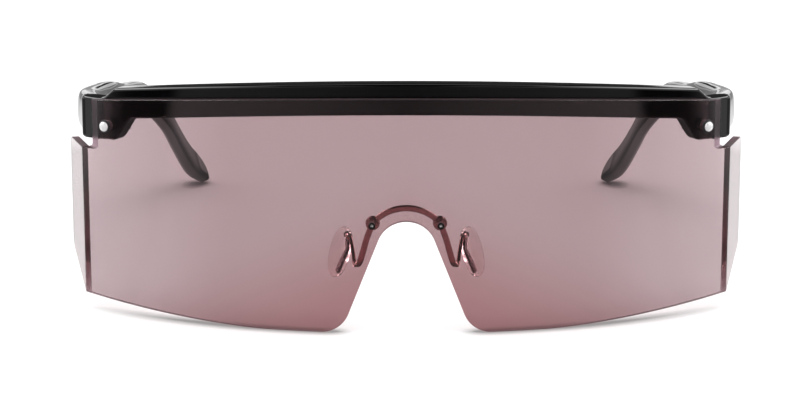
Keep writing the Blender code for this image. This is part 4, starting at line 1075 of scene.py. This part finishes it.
def facet_tool(shield):
    """What is cut away for the left notch, whose upright side slopes and meets its floor in a fillet."""
    angle = front_angle(shield.half_width - shield.notch_width)
    back = arc_place(shield.bend_radius - shield.thickness, angle)
    front = arc_place(shield.bend_radius, angle - shield.facet_width / shield.bend_radius)
    slope = (front - back).normalized()
    outward = Vector((-slope.y, slope.x, 0.0))
    reach = shield.thickness * 2
    rings = []
    for angle in spread(0.0, math.pi / 2, FILLET_STEPS):
        aside = outward * shield.facet_fillet * (1.0 - math.sin(angle))
        height = shield.notch_height + shield.facet_fillet * (1.0 - math.cos(angle)) + WELD
        rings.append((aside, height))
    rings.append((Vector((0.0, 0.0, 0.0)), shield.height + reach))
    corners = (back - slope * reach, front + slope * reach)
    outer = (corners[1] + outward * reach * 2, corners[0] + outward * reach * 2)
    return skin([
        [point + aside + UP * height for point in corners] + [point + UP * height for point in outer]
        for aside, height in rings
    ])


class SUNGLASSES_OT_shield(bpy.types.Operator):
    """Make the tinted shield: a flat sheet bent round the front, with its wings, holes and rounded edges"""

    bl_idname = "sunglasses.shield"
    bl_label = "Shield"

    def execute(self, context):
        shield = settings().shield
        fastener = settings().fastener
        bridge = settings().bridge
        corner, columns = shield_columns(shield)
        piece = new_object("rose_shield", flat_shield(columns))
        values = {
            "Bend radius": shield.bend_radius,
            "Thickness": shield.thickness,
            "Corner reach": corner,
            "Wing flare": shield.wing_flare,
            "Material": look("rose_shield"),
        }
        run_tree(piece, bent_shield_tree(), values)
        low = shield.bend_radius - shield.thickness * 2
        high = shield.bend_radius + shield.thickness
        holes = []
        for side in (1, -1):
            dome = turned_front_frame(side * fastener.dome_x, fastener.dome_height)
            eyelet = turned_front_frame(side * bridge.eyelet_x, bridge.eyelet_height)
            holes.append(rod(dome, fastener.hole_radius, low, high))
            holes.append(rod(eyelet, bridge.shank_radius + FINE_GAP, low, high))
        facet = facet_tool(shield)
        for tool in holes + [facet]:
            marks = tool.attributes.new("cut_edge", "FLOAT", "FACE")
            marks.data.foreach_set("value", [1.0] * len(tool.polygons))
        cut(piece, holes + [facet, mirrored(facet)])
        round_edges(piece, shield.edge_radius)
        finish(piece, "front", look("rose_shield"), ["shield_lens"])
        return {"FINISHED"}


# Brow bar

# Steps along the plain stretch, the lug, the way to the corner, and the corner
PLAIN_STEPS = 36
LUG_STEPS = 28
SHOULDER_STEPS = 5
CORNER_STEPS = 12


def bar_top(bar, x):
    arch = bar.top - bar.top_drop * (x / bar.shoulder_start) ** 2
    return arch + (bar.end_top - arch) * smooth_step(bar.shoulder_start, bar.shoulder_end, x)


def bar_bottom(bar, x):
    arch = bar.bottom - bar.bottom_drop * (x / bar.lug_start) ** 2
    low = bar.end_bottom + bar.lug_rise * (1.0 - smooth_step(bar.lug_end, bar.end_half_width, x))
    return arch + (low - arch) * ramp_step(bar.lug_start, bar.lug_end, x, bar.lug_ease)


def rounded_section(front, back, low, high, radius):
    """A section with rounded corners, upright on the line from front to back."""
    across = back - front
    width = across.length
    across = across.normalized()
    corners = (
        (radius, low + radius, math.pi),
        (width - radius, low + radius, 1.5 * math.pi),
        (width - radius, high - radius, 0.0),
        (radius, high - radius, 0.5 * math.pi),
    )
    ring = []
    for side, height, start in corners:
        for angle in spread(start, start + math.pi / 2, EDGE_STEPS):
            reach = side + radius * math.cos(angle)
            ring.append(front + across * reach + UP * (height + radius * math.sin(angle)))
    return ring


def bar_rings(bar):
    """Sections of the bar's left half, from the middle to the butt face."""
    shield = settings().shield
    front_radius = shield.bend_radius - shield.thickness - GAP
    back_radius = front_radius - bar.thickness
    centre_x = bar.end_half_width - bar.end_corner
    inner = front_radius - bar.end_corner
    start = math.asin(centre_x / inner)
    centre = arc_place(inner, start)
    rings = []
    plain = spread(0.0, bar.lug_start, PLAIN_STEPS)
    for x in plain + spread(bar.lug_start, bar.shoulder_end, LUG_STEPS)[1:]:
        angle = math.asin(x / front_radius)
        ends = (arc_place(front_radius, angle), arc_place(back_radius, angle))
        rings.append(rounded_section(*ends, bar_bottom(bar, x), bar_top(bar, x), bar.edge_radius))
    last = math.asin(bar.shoulder_end / front_radius)
    butt = math.acos((shield.bend_radius - bar.butt_depth) / back_radius)
    fronts = [arc_place(front_radius, angle) for angle in spread(last, start, SHOULDER_STEPS)[1:]]
    for angle in spread(start, math.pi / 2, CORNER_STEPS)[1:]:
        fronts.append(centre + Vector((math.sin(angle), -math.cos(angle), 0.0)) * bar.end_corner)
    fronts.append(Vector((bar.end_half_width, bar.butt_depth, 0.0)))
    for index, front in enumerate(fronts):
        back = arc_place(back_radius, last + (butt - last) * (index + 1) / len(fronts))
        rings.append(rounded_section(front, back, bar.end_bottom, bar.end_top, bar.edge_radius))
    return rings


class SUNGLASSES_OT_brow_bar(bpy.types.Operator):
    """Make the black brow bar behind the shield's upper edge, with its shoulders, lugs and end pieces"""

    bl_idname = "sunglasses.brow_bar"
    bl_label = "Brow bar"

    def execute(self, context):
        rings = bar_rings(settings().bar)
        across = [[Vector((-point.x, point.y, point.z)) for point in ring] for ring in rings[:0:-1]]
        piece = new_object("brow_bar_finished", skin(across + rings))
        round_edges(piece, settings().fastener.edge_radius)
        finish(piece, "front", look("black_acetate"), ["brow_bar"])
        return {"FINISHED"}


# Temples

# Reach share, centre height share, outer side share, section height share, thickness share, lean share
TEMPLE_SHARES = (
    (0.000, 1.000, 1.000, 1.000, 1.00, 0.0),
    (0.100, 0.972, 1.034, 0.980, 1.18, 0.0),
    (0.200, 0.945, 1.023, 0.930, 1.09, 0.0),
    (0.300, 0.914, 1.001, 0.880, 1.00, 0.0),
    (0.414, 0.857, 0.983, 0.740, 0.92, 0.0),
    (0.570, 0.785, 0.952, 0.700, 0.90, 0.1),
    (0.650, 0.700, 0.924, 0.740, 0.90, 0.6),
    (0.750, 0.545, 0.887, 0.880, 0.91, 0.9),
    (0.850, 0.353, 0.862, 0.930, 0.95, 1.0),
    (0.920, 0.211, 0.841, 0.940, 1.00, 1.0),
    (0.960, 0.137, 0.824, 0.890, 1.02, 1.0),
    (1.000, 0.070, 0.790, 0.800, 1.05, 1.0),
)
TEMPLE_SIDES = 44
TEMPLE_STEP_SHARE = 1 / 120
TEMPLE_STATIONS = 110
TIP_STATIONS = 14


def temple_place(where):
    """The left temple's centre at a share of its reach, then its section's size and lean."""
    temple = settings().temple
    bar = settings().bar
    height, side, tall, thick, lean = curve_through(TEMPLE_SHARES, where)
    x = bar.end_half_width * side - temple.thickness * thick / 2
    centre = Vector((x, bar.butt_depth + GAP + temple.reach * where, temple.centre * height))
    return centre, (temple.thickness * thick, temple.height * tall), temple.lean * lean


def temple_frame(where):
    """The frame of the left temple's section at a share of its reach, then the section's size."""
    centre, (thick, tall), lean = temple_place(where)
    near = temple_place(max(where - TEMPLE_STEP_SHARE, 0.0))[0]
    far = temple_place(min(where + TEMPLE_STEP_SHARE, 1.0))[0]
    along = (far - near).normalized()
    if where <= 0.0:
        along = BACK
    upright = ACROSS.cross(along).normalized()
    turned_up = upright * math.cos(lean) + along.cross(upright) * math.sin(lean)
    return frame_from(centre, along.cross(turned_up), along, turned_up), thick, tall


def temple_ring(where):
    """A rounded section: a superellipse, drawn in to a round tip, and flat where it stands on the floor."""
    temple = settings().temple
    place, thick, tall = temple_frame(where)
    past = max(where - 1.0 + temple.tip_share, 0.0) / temple.tip_share
    draw = math.sqrt(max(1.0 - past ** 2, temple.tip_blunt))
    thick *= draw ** temple.tip_slimming
    ring = []
    for x, y in rounded_loop(TEMPLE_SIDES, temple.roundness):
        up = (y * draw - (1.0 - draw)) * tall / 2
        point = place @ Vector((x * thick / 2, 0.0, up))
        point.z = max(point.z, 0.0)
        ring.append(point)
    return ring


def core_ring(where):
    """A section of the flat core wire inside the left temple."""
    temple = settings().temple
    place, _, _ = temple_frame(where)
    across, up = temple.core_width / 2, temple.core_height / 2
    corners = ((-across, -up), (across, -up), (across, up), (-across, up))
    return [place @ Vector((x, 0.0, z)) for x, z in corners]


class SUNGLASSES_OT_temples(bpy.types.Operator):
    """Make both temples, from the butt face over the ear bend to the tip"""

    bl_idname = "sunglasses.temples"
    bl_label = "Temples"

    def execute(self, context):
        tip = settings().temple.tip_share
        shares = spread(0.0, 1.0 - tip, TEMPLE_STATIONS)
        shares += [1.0 - tip + tip * math.sin(angle) for angle in spread(0.0, math.pi / 2, TIP_STATIONS)[1:]]
        left = skin([temple_ring(where) for where in shares])
        for label, mesh in (("left", left), ("right", mirrored(left))):
            body = "temple_" + label
            piece = new_object("temple_finished_" + label, mesh)
            round_edges(piece, settings().fastener.edge_radius)
            finish(piece, body, look("black_acetate"), [body])
        temple = settings().temple
        shares = spread(temple.core_start, temple.core_end, TEMPLE_STATIONS)
        core = skin([core_ring(where) for where in shares])
        for label, mesh in (("left", core), ("right", mirrored(core))):
            piece = new_object("temple_core_finished_" + label, mesh)
            finish(piece, "temple_" + label, look("steel"), ["temple_core_" + label])
        return {"FINISHED"}


# Bridge

# Outward share, backward share, downward share, width share, depth share
ARM_SHARES = (
    (0.00, 0.000, 0.00, 1.00, 1.0),
    (0.23, 0.012, 0.32, 1.00, 1.0),
    (0.35, 0.020, 0.54, 1.00, 1.0),
    (0.45, 0.042, 0.73, 1.00, 1.0),
    (0.56, 0.140, 0.91, 0.95, 1.0),
    (0.69, 0.300, 1.00, 0.85, 1.1),
    (0.77, 0.470, 0.95, 0.68, 1.3),
    (0.83, 0.620, 0.77, 0.62, 1.5),
    (0.91, 0.790, 0.56, 0.60, 1.5),
    (0.97, 0.930, 0.45, 0.58, 1.4),
)
ARCH_STATIONS = 48
ARM_STATIONS = 72
STRIP_SIDES = 20
STRIP_ROUNDNESS = 6.0


def eyelet_front():
    shield = settings().shield
    bridge = settings().bridge
    return shield.bend_radius - shield.thickness - FINE_GAP - bridge.washer_thickness - FINE_GAP


def strip_ring(centre, along, side_hint, width, depth):
    """A flat strip's rounded section, square to its run."""
    side = (side_hint - along * side_hint.dot(along)).normalized()
    face = along.cross(side)
    loop = rounded_loop(STRIP_SIDES, STRIP_ROUNDNESS)
    return [centre + side * (x * width / 2) + face * (y * depth / 2) for x, y in loop]


def arch_rings():
    """Sections of the arch, a circle's arc between the eyelets, bent round behind the shield."""
    bridge = settings().bridge
    middle = eyelet_front() - bridge.eyelet_thickness / 2
    drop = bridge.arch_height - bridge.eyelet_height
    radius = (bridge.eyelet_x ** 2 + drop ** 2) / (2 * drop)
    reach = math.asin(bridge.eyelet_x / radius)
    rings = []
    for angle in spread(-reach, reach, ARCH_STATIONS):
        around = radius * math.sin(angle) / settings().shield.bend_radius
        height = bridge.arch_height - radius * (1.0 - math.cos(angle))
        across = Vector((math.cos(around), math.sin(around), 0.0))
        outward = Vector((math.sin(around), -math.cos(around), 0.0))
        along = across * math.cos(angle) - UP * math.sin(angle)
        centre = arc_place(middle, around, height)
        rings.append(strip_ring(centre, along, outward.cross(along), bridge.arch_width, bridge.arch_depth))
    return rings


def arm_rings():
    """Sections of the left arm: down from the eyelet, round a bend, and back up to the pad's eye."""
    bridge = settings().bridge
    rows = [(index / (len(ARM_SHARES) - 1), *row) for index, row in enumerate(ARM_SHARES)]
    start = arc_place(eyelet_front() - bridge.eyelet_thickness / 2, front_angle(bridge.eyelet_x))
    start.z = bridge.eyelet_height
    places = [curve_through(rows, where) for where in spread(0.0, 1.0, ARM_STATIONS)]
    points = []
    for out, back, down, width, depth in places:
        step = Vector((out * bridge.arm_spread, back * bridge.arm_reach, -down * bridge.arm_drop))
        points.append(start + step)
    points.append(pad_pivot())
    sizes = [place[3:] for place in places]
    sizes.append(sizes[-1])
    rings = []
    for index, point in enumerate(points):
        along = (points[min(index + 1, len(points) - 1)] - points[max(index - 1, 0)]).normalized()
        width, depth = sizes[index]
        size = (bridge.arm_width * width, bridge.arm_depth * depth)
        rings.append(strip_ring(point, along, ACROSS, *size))
    return rings


class SUNGLASSES_OT_bridge(bpy.types.Operator):
    """Make the metal bridge: an arch, two eyelets and the bent arms with the eyes that hold the pads"""

    bl_idname = "sunglasses.bridge"
    bl_label = "Bridge"

    def execute(self, context):
        bridge = settings().bridge
        pad = settings().pad
        place = turned_front_frame(bridge.eyelet_x, bridge.eyelet_height)
        high = eyelet_front()
        low = high - bridge.eyelet_thickness
        half = pad.eye_length / 2
        left = [
            tube(place, bridge.eyelet_radius, bridge.shank_radius + FINE_GAP, low, high),
            skin(arm_rings()),
            rod(pivot_frame(), pad.eye_radius, -half, half),
        ]
        meshes = [skin(arch_rings())] + left + [mirrored(mesh) for mesh in left]
        piece = new_object("bridge_finished", joined(meshes))
        round_edges(piece, settings().fastener.edge_radius)
        finish(piece, "front", look("bridge_metal"), ["bridge"])
        return {"FINISHED"}


# Fasteners

SOCKET_FLOOR_SHARE = 0.7
DOME_STEPS = 12


def inner_end(node):
    """How far from the front's upright axis a plain fastener ends."""
    axis = Vector((0.0, settings().shield.bend_radius, 0.0)) + FRONT_PLACE
    return min((vertex.co - axis).to_2d().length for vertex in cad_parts[node].data.vertices)


def set_pair(name, mesh, x, finish_name, node):
    """Set a turned piece at both sides of the front."""
    piece = new_object(name, mesh)
    round_edges(piece, settings().fastener.edge_radius)
    values = {
        "Bend radius": settings().shield.bend_radius,
        "Angle": front_angle(x),
        "Material": look(finish_name),
    }
    run_tree(piece, bpy.data.node_groups["Both sides of the front"], values)
    return finish(piece, "front", look(finish_name), [node + "_left", node + "_right"])


class SUNGLASSES_OT_fasteners(bpy.types.Operator):
    """Make the domed fasteners with their rings, and the bridge's screws and clear washers"""

    bl_idname = "sunglasses.fasteners"
    bl_label = "Fasteners"

    def execute(self, context):
        shield = settings().shield
        fastener = settings().fastener
        bridge = settings().bridge
        both_sides_tree()
        place = front_frame(fastener.dome_height)
        end = inner_end("lens_screw_left")
        base = shield.bend_radius + FINE_GAP
        seat = base + fastener.ring_thickness + FINE_GAP
        profile = [(fastener.shank_radius, end), (fastener.shank_radius, seat), (fastener.dome_radius, seat)]
        for angle in spread(0.0, math.pi / 2, DOME_STEPS)[1:-1]:
            height = seat + fastener.dome_crown * math.sin(angle)
            profile.append((fastener.dome_radius * math.cos(angle), height))
        dome = turned(place, profile)
        set_pair("dome_fasteners", dome, fastener.dome_x, "silver", "lens_screw")
        inner = fastener.shank_radius + FINE_GAP
        ring = tube(place, fastener.ring_radius, inner, base, base + fastener.ring_thickness)
        set_pair("dome_rings", ring, fastener.dome_x, "dark_ring", "lens_washer")

        place = front_frame(bridge.eyelet_height)
        low = eyelet_front() - bridge.eyelet_thickness - FINE_GAP - 2 * bridge.washer_thickness
        top = base + bridge.head_height
        profile = (
            (bridge.shank_radius, low),
            (bridge.shank_radius, base),
            (bridge.head_radius, base),
            (bridge.head_radius, top),
            (bridge.socket_radius, top),
            (bridge.socket_radius * SOCKET_FLOOR_SHARE, top - bridge.socket_depth),
        )
        screw = turned(place, profile)
        set_pair("bridge_screws", screw, bridge.eyelet_x, "screw_metal", "bridge_screw")
        inner = bridge.shank_radius + FINE_GAP
        high = shield.bend_radius - shield.thickness - FINE_GAP
        flat = tube(place, bridge.washer_radius, inner, high - bridge.washer_thickness, high)
        set_pair("bridge_washers", flat, bridge.eyelet_x, "clear_nylon", "bridge_washer")
        return {"FINISHED"}


# Hinges

SMALL_STEEL = {
    "front": [
        "hinge_leaf_front_left", "hinge_leaf_front_right", "hinge_screw_left", "hinge_screw_right",
        "lens_nut_left", "lens_nut_right", "pad_screw_left", "pad_screw_right",
    ],
    "temple_left": ["hinge_leaf_temple_left", "leaf_screw_left_1", "leaf_screw_left_2"],
    "temple_right": ["hinge_leaf_temple_right", "leaf_screw_right_1", "leaf_screw_right_2"],
}


class SUNGLASSES_OT_hinges(bpy.types.Operator):
    """Finish the hinge leaves, pins, screws and nuts with rounded steel edges, and paint the hidden parts"""

    bl_idname = "sunglasses.hinges"
    bl_label = "Hinges"

    def execute(self, context):
        radius = settings().fastener.edge_radius
        for body, nodes in SMALL_STEEL.items():
            for node in nodes:
                finer_copy(node, body, look("steel"), radius)
        for side in ("left", "right"):
            finer_copy("bridge_nut_" + side, "front", look("bridge_metal"), radius)
            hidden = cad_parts["lens_bushing_" + side]
            hidden.data.materials.clear()
            hidden.data.materials.append(look("clear_nylon"))
        return {"FINISHED"}


# Nose pads

# Insert's route in the pad: front share of the pad's half width, up share of its half length
INSERT_SHARES = ((0.48, 0.60), (0.80, 0.30), (0.38, -0.66))
PAD_LAYERS = 18
PAD_SIDES = 64


def insert_points():
    """The toothed stretch of the insert in the left pad's frame, from its top to its lower end."""
    pad = settings().pad
    points = []
    for front_share, up_share in INSERT_SHARES:
        points.append(Vector((0.0, front_share * pad.width / 2, up_share * pad.length / 2)))
    return points


def pad_rings():
    """Rings of the oval pad through its thickness, with a full round edge."""
    pad = settings().pad
    place = pad_frame()
    rings = []
    for angle in spread(-math.pi / 2, math.pi / 2, PAD_LAYERS):
        depth = pad.thickness / 2 * math.sin(angle)
        inset = pad.thickness / 2 * (1.0 - math.cos(angle))
        ring = []
        for around in spread(0.0, 2.0 * math.pi, PAD_SIDES)[:-1]:
            front = (pad.width / 2 - inset) * math.cos(around)
            up = (pad.length / 2 - inset) * math.sin(around)
            ring.append(place @ Vector((depth, front, up)))
        rings.append(ring)
    return rings


def path_mesh(points):
    mesh = bpy.data.meshes.new("path")
    mesh.from_pydata(points, [(index, index + 1) for index in range(len(points) - 1)], [])
    return mesh


class SUNGLASSES_OT_nose_pads(bpy.types.Operator):
    """Make the clear nose pads, each with its toothed metal insert"""

    bl_idname = "sunglasses.nose_pads"
    bl_label = "Nose pads"

    def execute(self, context):
        pad = settings().pad
        left = skin(pad_rings())
        place = pad_frame()
        tree = toothed_strip_tree()
        points = insert_points()
        for side, label in ((1, "left"), (-1, "right")):
            body = "pad_" + label
            soft = new_object("pad_finished_" + label, left if side > 0 else mirrored(left))
            round_edges(soft, 0.0)
            finish(soft, body, look("clear_silicone"), ["nose_pad_" + label])
            finer_copy(
                "pad_insert_" + label, body, look("insert_metal"),
                settings().fastener.edge_radius,
            )
            mirror = Matrix.Scale(side, 4, ACROSS)
            route = [mirror @ place @ point for point in points]
            teeth = new_object("insert_teeth_" + label, path_mesh(route))
            turning = (mirror @ place).to_3x3()
            values = {
                "Width": pad.insert_width,
                "Depth": pad.insert_depth,
                "Pitch": pad.tooth_pitch,
                "Tooth side": turning @ BACK,
                "Flat side": turning @ ACROSS,
                "Material": look("insert_metal"),
            }
            run_tree(teeth, tree, values)
            finish(teeth, body, look("insert_metal"))
        return {"FINISHED"}


# Stage

# The floor in polished pieces: share of a half turn from the front, share of the highest brightness
GLOSS_SHARES = (
    (0.000, 0.085), (0.100, 0.140), (0.235, 0.200), (0.258, 0.200),
    (0.272, 0.020), (0.320, 0.020), (0.334, 0.060), (0.350, 0.220),
    (0.361, 0.620), (0.400, 0.600), (0.430, 0.200), (0.670, 0.120),
    (0.730, 0.900), (0.760, 0.900), (0.800, 0.300), (1.000, 0.300),
)
# Where the near floor starts, is full and ends, in shares of its width
NEAR_START_SHARES = (0.42, 0.47)
NEAR_END_SHARES = (1.0, 1.15)

# Between which parts of a direction the room changes: towards the back, and up past the horizon
ROOM_BACK = (-0.6, 0.5)
HORIZON = (0.02, 0.07)
# How far aside the horizon starts to rise, how fast it does, and how high it gets
HORIZON_ASIDE = 0.11
HORIZON_TILT = 2.5
HORIZON_MOST = 0.35
# Where the lamps at either side start and are full, aside and above
LAMPS_ASIDE = (0.40, 0.60)
LAMPS_ABOVE = (0.50, 0.60)

# How many times light has passed a sheet before the floor counts as seen behind it
SHEET_PASSES = 2.5
# Openness of the floor where a contact shadow is full and where it ends
CONTACT_RANGE = (0.5, 0.92)
CONTACT_SAMPLES = 24
WHITE = (1.0, 1.0, 1.0, 1.0)
BLACK = (0.0, 0.0, 0.0)

LAMP_LENGTH = 0.5
LAMP_WIDTH = 0.16
LAMP_PLACE = (0.0, -0.10, 0.55)
LAMP_TILT = math.radians(-5.0)
SENSOR_WIDTH = 36.0
NEAR_CLIP = 0.01
FAR_CLIP = 50.0


def floor_gloss(tree, stage):
    """How bright the floor looks in polished pieces: dim in front, bright beside that and further back."""
    parts = parts_of(tree, "ShaderNodeTexCoord", "Object")
    ahead = calc(tree, "MULTIPLY", parts["Y"], -1.0)
    aside = calc(tree, "ABSOLUTE", parts["X"])
    angle = calc(tree, "ARCTAN2", aside, ahead)
    levels = add_node(tree, "ShaderNodeValToRGB", {"Fac": calc(tree, "DIVIDE", angle, math.pi)})
    stops = levels.color_ramp.elements
    while len(stops) < len(GLOSS_SHARES):
        stops.new(0.5)
    for stop, (where, level) in zip(stops, GLOSS_SHARES):
        stop.position = where
        stop.color = (level, level, level, 1.0)
    outer = [stage.near_width * part for part in NEAR_END_SHARES]
    inner = [stage.near_width * part for part in NEAR_START_SHARES]
    beside = ramp(tree, aside, *outer, start=stage.near_gloss, end=0.0)
    past = ramp(tree, parts["Y"], FRONT_PLACE.y, FRONT_PLACE.y / 2)
    clear = ramp(tree, aside, *inner)
    near = calc(tree, "MULTIPLY", calc(tree, "MULTIPLY", beside, past), clear)
    return calc(tree, "MULTIPLY", calc(tree, "MAXIMUM", levels.outputs[0], near), stage.gloss_peak)


def blended(tree, factor, first, second):
    """A value between two values."""
    node = add_node(tree, "ShaderNodeMix", {"Factor": factor, 2: first, 3: second})
    return node.outputs[0]


def make_floor(stage):
    """A pale floor with a painted contact shadow where the sunglasses touch it, that polished pieces see in
    shades of their own.
    """
    bm = bmesh.new()
    bmesh.ops.create_grid(bm, x_segments=1, y_segments=1, size=stage.floor_size / 2)
    floor = new_object("floor", mesh_from(bm, turn_out=False))
    made, tree, shader = start_material("floor", tuple(stage.floor), {"Roughness": 0.9, "IOR": 1.05})
    ray = add_node(tree, "ShaderNodeLightPath").outputs
    in_gloss = calc(tree, "MINIMUM", ray["Glossy Depth"], 1.0)
    behind_sheet = calc(tree, "GREATER_THAN", ray["Transmission Depth"], SHEET_PASSES)
    more = blended(tree, behind_sheet, 1.0, stage.sheet_gloss)
    mirrored_floor = calc(tree, "MULTIPLY", floor_gloss(tree, stage), more)
    # Painted contact shadow: the floor's colour and glow darken near whatever stands on it.
    reach = {"Distance": stage.contact_reach}
    near = add_node(tree, "ShaderNodeAmbientOcclusion", reach, samples=CONTACT_SAMPLES)
    contact = ramp(tree, near.outputs["AO"], *CONTACT_RANGE, start=stage.contact_share)
    lit = add_node(tree, "ShaderNodeVectorMath", {0: tuple(stage.floor)}, operation="SCALE")
    tree.links.new(contact, lit.inputs["Scale"])
    tree.links.new(mixed_tint(tree, in_gloss, lit.outputs[0], BLACK), shader.inputs["Base Color"])
    glow = calc(tree, "MULTIPLY", contact, stage.floor_glow)
    tree.links.new(blended(tree, in_gloss, glow, mirrored_floor), shader.inputs["Emission Strength"])
    shader.inputs["Emission Color"].default_value = WHITE
    floor.data.materials.append(made)


def make_room(stage):
    """A room that lights the sunglasses softly, and shows a horizon and two lamps in polished pieces."""
    world = bpy.data.worlds.new("studio")
    world.use_nodes = True
    tree = world.node_tree
    back = tree.nodes["Background"]
    back.inputs["Color"].default_value = WHITE
    toward = parts_of(tree, "ShaderNodeTexCoord", "Generated")
    level = ramp(tree, toward["Y"], *ROOM_BACK, start=stage.front_light, end=stage.back_light, smooth=True)
    sideways = calc(tree, "ABSOLUTE", toward["X"])
    past = calc(tree, "MAXIMUM", calc(tree, "SUBTRACT", sideways, HORIZON_ASIDE), 0.0)
    past = calc(tree, "MINIMUM", calc(tree, "MULTIPLY", past, HORIZON_TILT), HORIZON_MOST)
    up = calc(tree, "SUBTRACT", toward["Z"], past)
    band = ramp(tree, up, *HORIZON, start=stage.low_gloss, end=stage.high_gloss, smooth=True)
    ray = add_node(tree, "ShaderNodeLightPath").outputs
    in_gloss = calc(tree, "MINIMUM", ray["Glossy Depth"], 1.0)
    beside = ramp(tree, sideways, *LAMPS_ASIDE, end=stage.lamp_gloss, smooth=True)
    above = ramp(tree, toward["Z"], *LAMPS_ABOVE)
    lamps = calc(tree, "MULTIPLY", beside, above)
    gloss = blended(tree, in_gloss, 1.0, calc(tree, "ADD", band, lamps))
    tree.links.new(calc(tree, "MULTIPLY", level, gloss), back.inputs["Strength"])
    bpy.context.scene.world = world


def make_lamp(stage):
    light = bpy.data.lights.new("top_light", "AREA")
    light.shape = "RECTANGLE"
    light.size = LAMP_LENGTH
    light.size_y = LAMP_WIDTH
    light.energy = stage.top_light
    lamp = new_object("top_light", light)
    lamp.location = LAMP_PLACE
    lamp.rotation_euler = (LAMP_TILT, 0.0, 0.0)


def make_camera(stage):
    forward = Vector((0.0, math.cos(stage.elevation), -math.sin(stage.elevation)))
    target = Vector((stage.target_x, FRONT_PLACE.y, stage.target_height))
    camera = bpy.data.cameras.new("camera")
    camera.sensor_width = SENSOR_WIDTH
    camera.lens = stage.lens
    camera.clip_start = NEAR_CLIP
    camera.clip_end = FAR_CLIP
    viewer = new_object("camera", camera)
    viewer.location = target - forward * stage.distance
    viewer.rotation_euler = (math.pi / 2 - stage.elevation, 0.0, 0.0)
    bpy.context.scene.camera = viewer


class SUNGLASSES_OT_stage(bpy.types.Operator):
    """Make the pale floor, the soft light and the camera"""

    bl_idname = "sunglasses.stage"
    bl_label = "Stage"

    def execute(self, context):
        stage = settings().stage
        make_floor(stage)
        make_room(stage)
        make_lamp(stage)
        make_camera(stage)
        context.scene.view_settings.view_transform = "Standard"
        return {"FINISHED"}


class SUNGLASSES_PT_panel(bpy.types.Panel):
    bl_label = "Sunglasses"
    bl_idname = "SUNGLASSES_PT_panel"
    bl_space_type = "VIEW_3D"
    bl_region_type = "UI"
    bl_category = "Sunglasses"

    def draw(self, context):
        for operator in OPERATORS:
            self.layout.operator(operator.bl_idname)


OPERATORS = (
    SUNGLASSES_OT_shield,
    SUNGLASSES_OT_brow_bar,
    SUNGLASSES_OT_temples,
    SUNGLASSES_OT_bridge,
    SUNGLASSES_OT_fasteners,
    SUNGLASSES_OT_hinges,
    SUNGLASSES_OT_nose_pads,
    SUNGLASSES_OT_stage,
)
CLASSES = (
    ShieldSettings,
    BarSettings,
    TempleSettings,
    FastenerSettings,
    BridgeSettings,
    PadSettings,
    StageSettings,
    SunglassesSettings,
    *OPERATORS,
    SUNGLASSES_PT_panel,
)


def register():
    for kind in CLASSES:
        bpy.utils.register_class(kind)
    bpy.types.Scene.sunglasses = bpy.props.PointerProperty(type=SunglassesSettings)


def unregister():
    del bpy.types.Scene.sunglasses
    for kind in reversed(CLASSES):
        bpy.utils.unregister_class(kind)


def main():
    register()
    bpy.ops.sunglasses.shield()
    bpy.ops.sunglasses.brow_bar()
    bpy.ops.sunglasses.temples()
    bpy.ops.sunglasses.bridge()
    bpy.ops.sunglasses.fasteners()
    bpy.ops.sunglasses.hinges()
    bpy.ops.sunglasses.nose_pads()
    bpy.ops.sunglasses.stage()


if __name__ == "__main__":
    main()
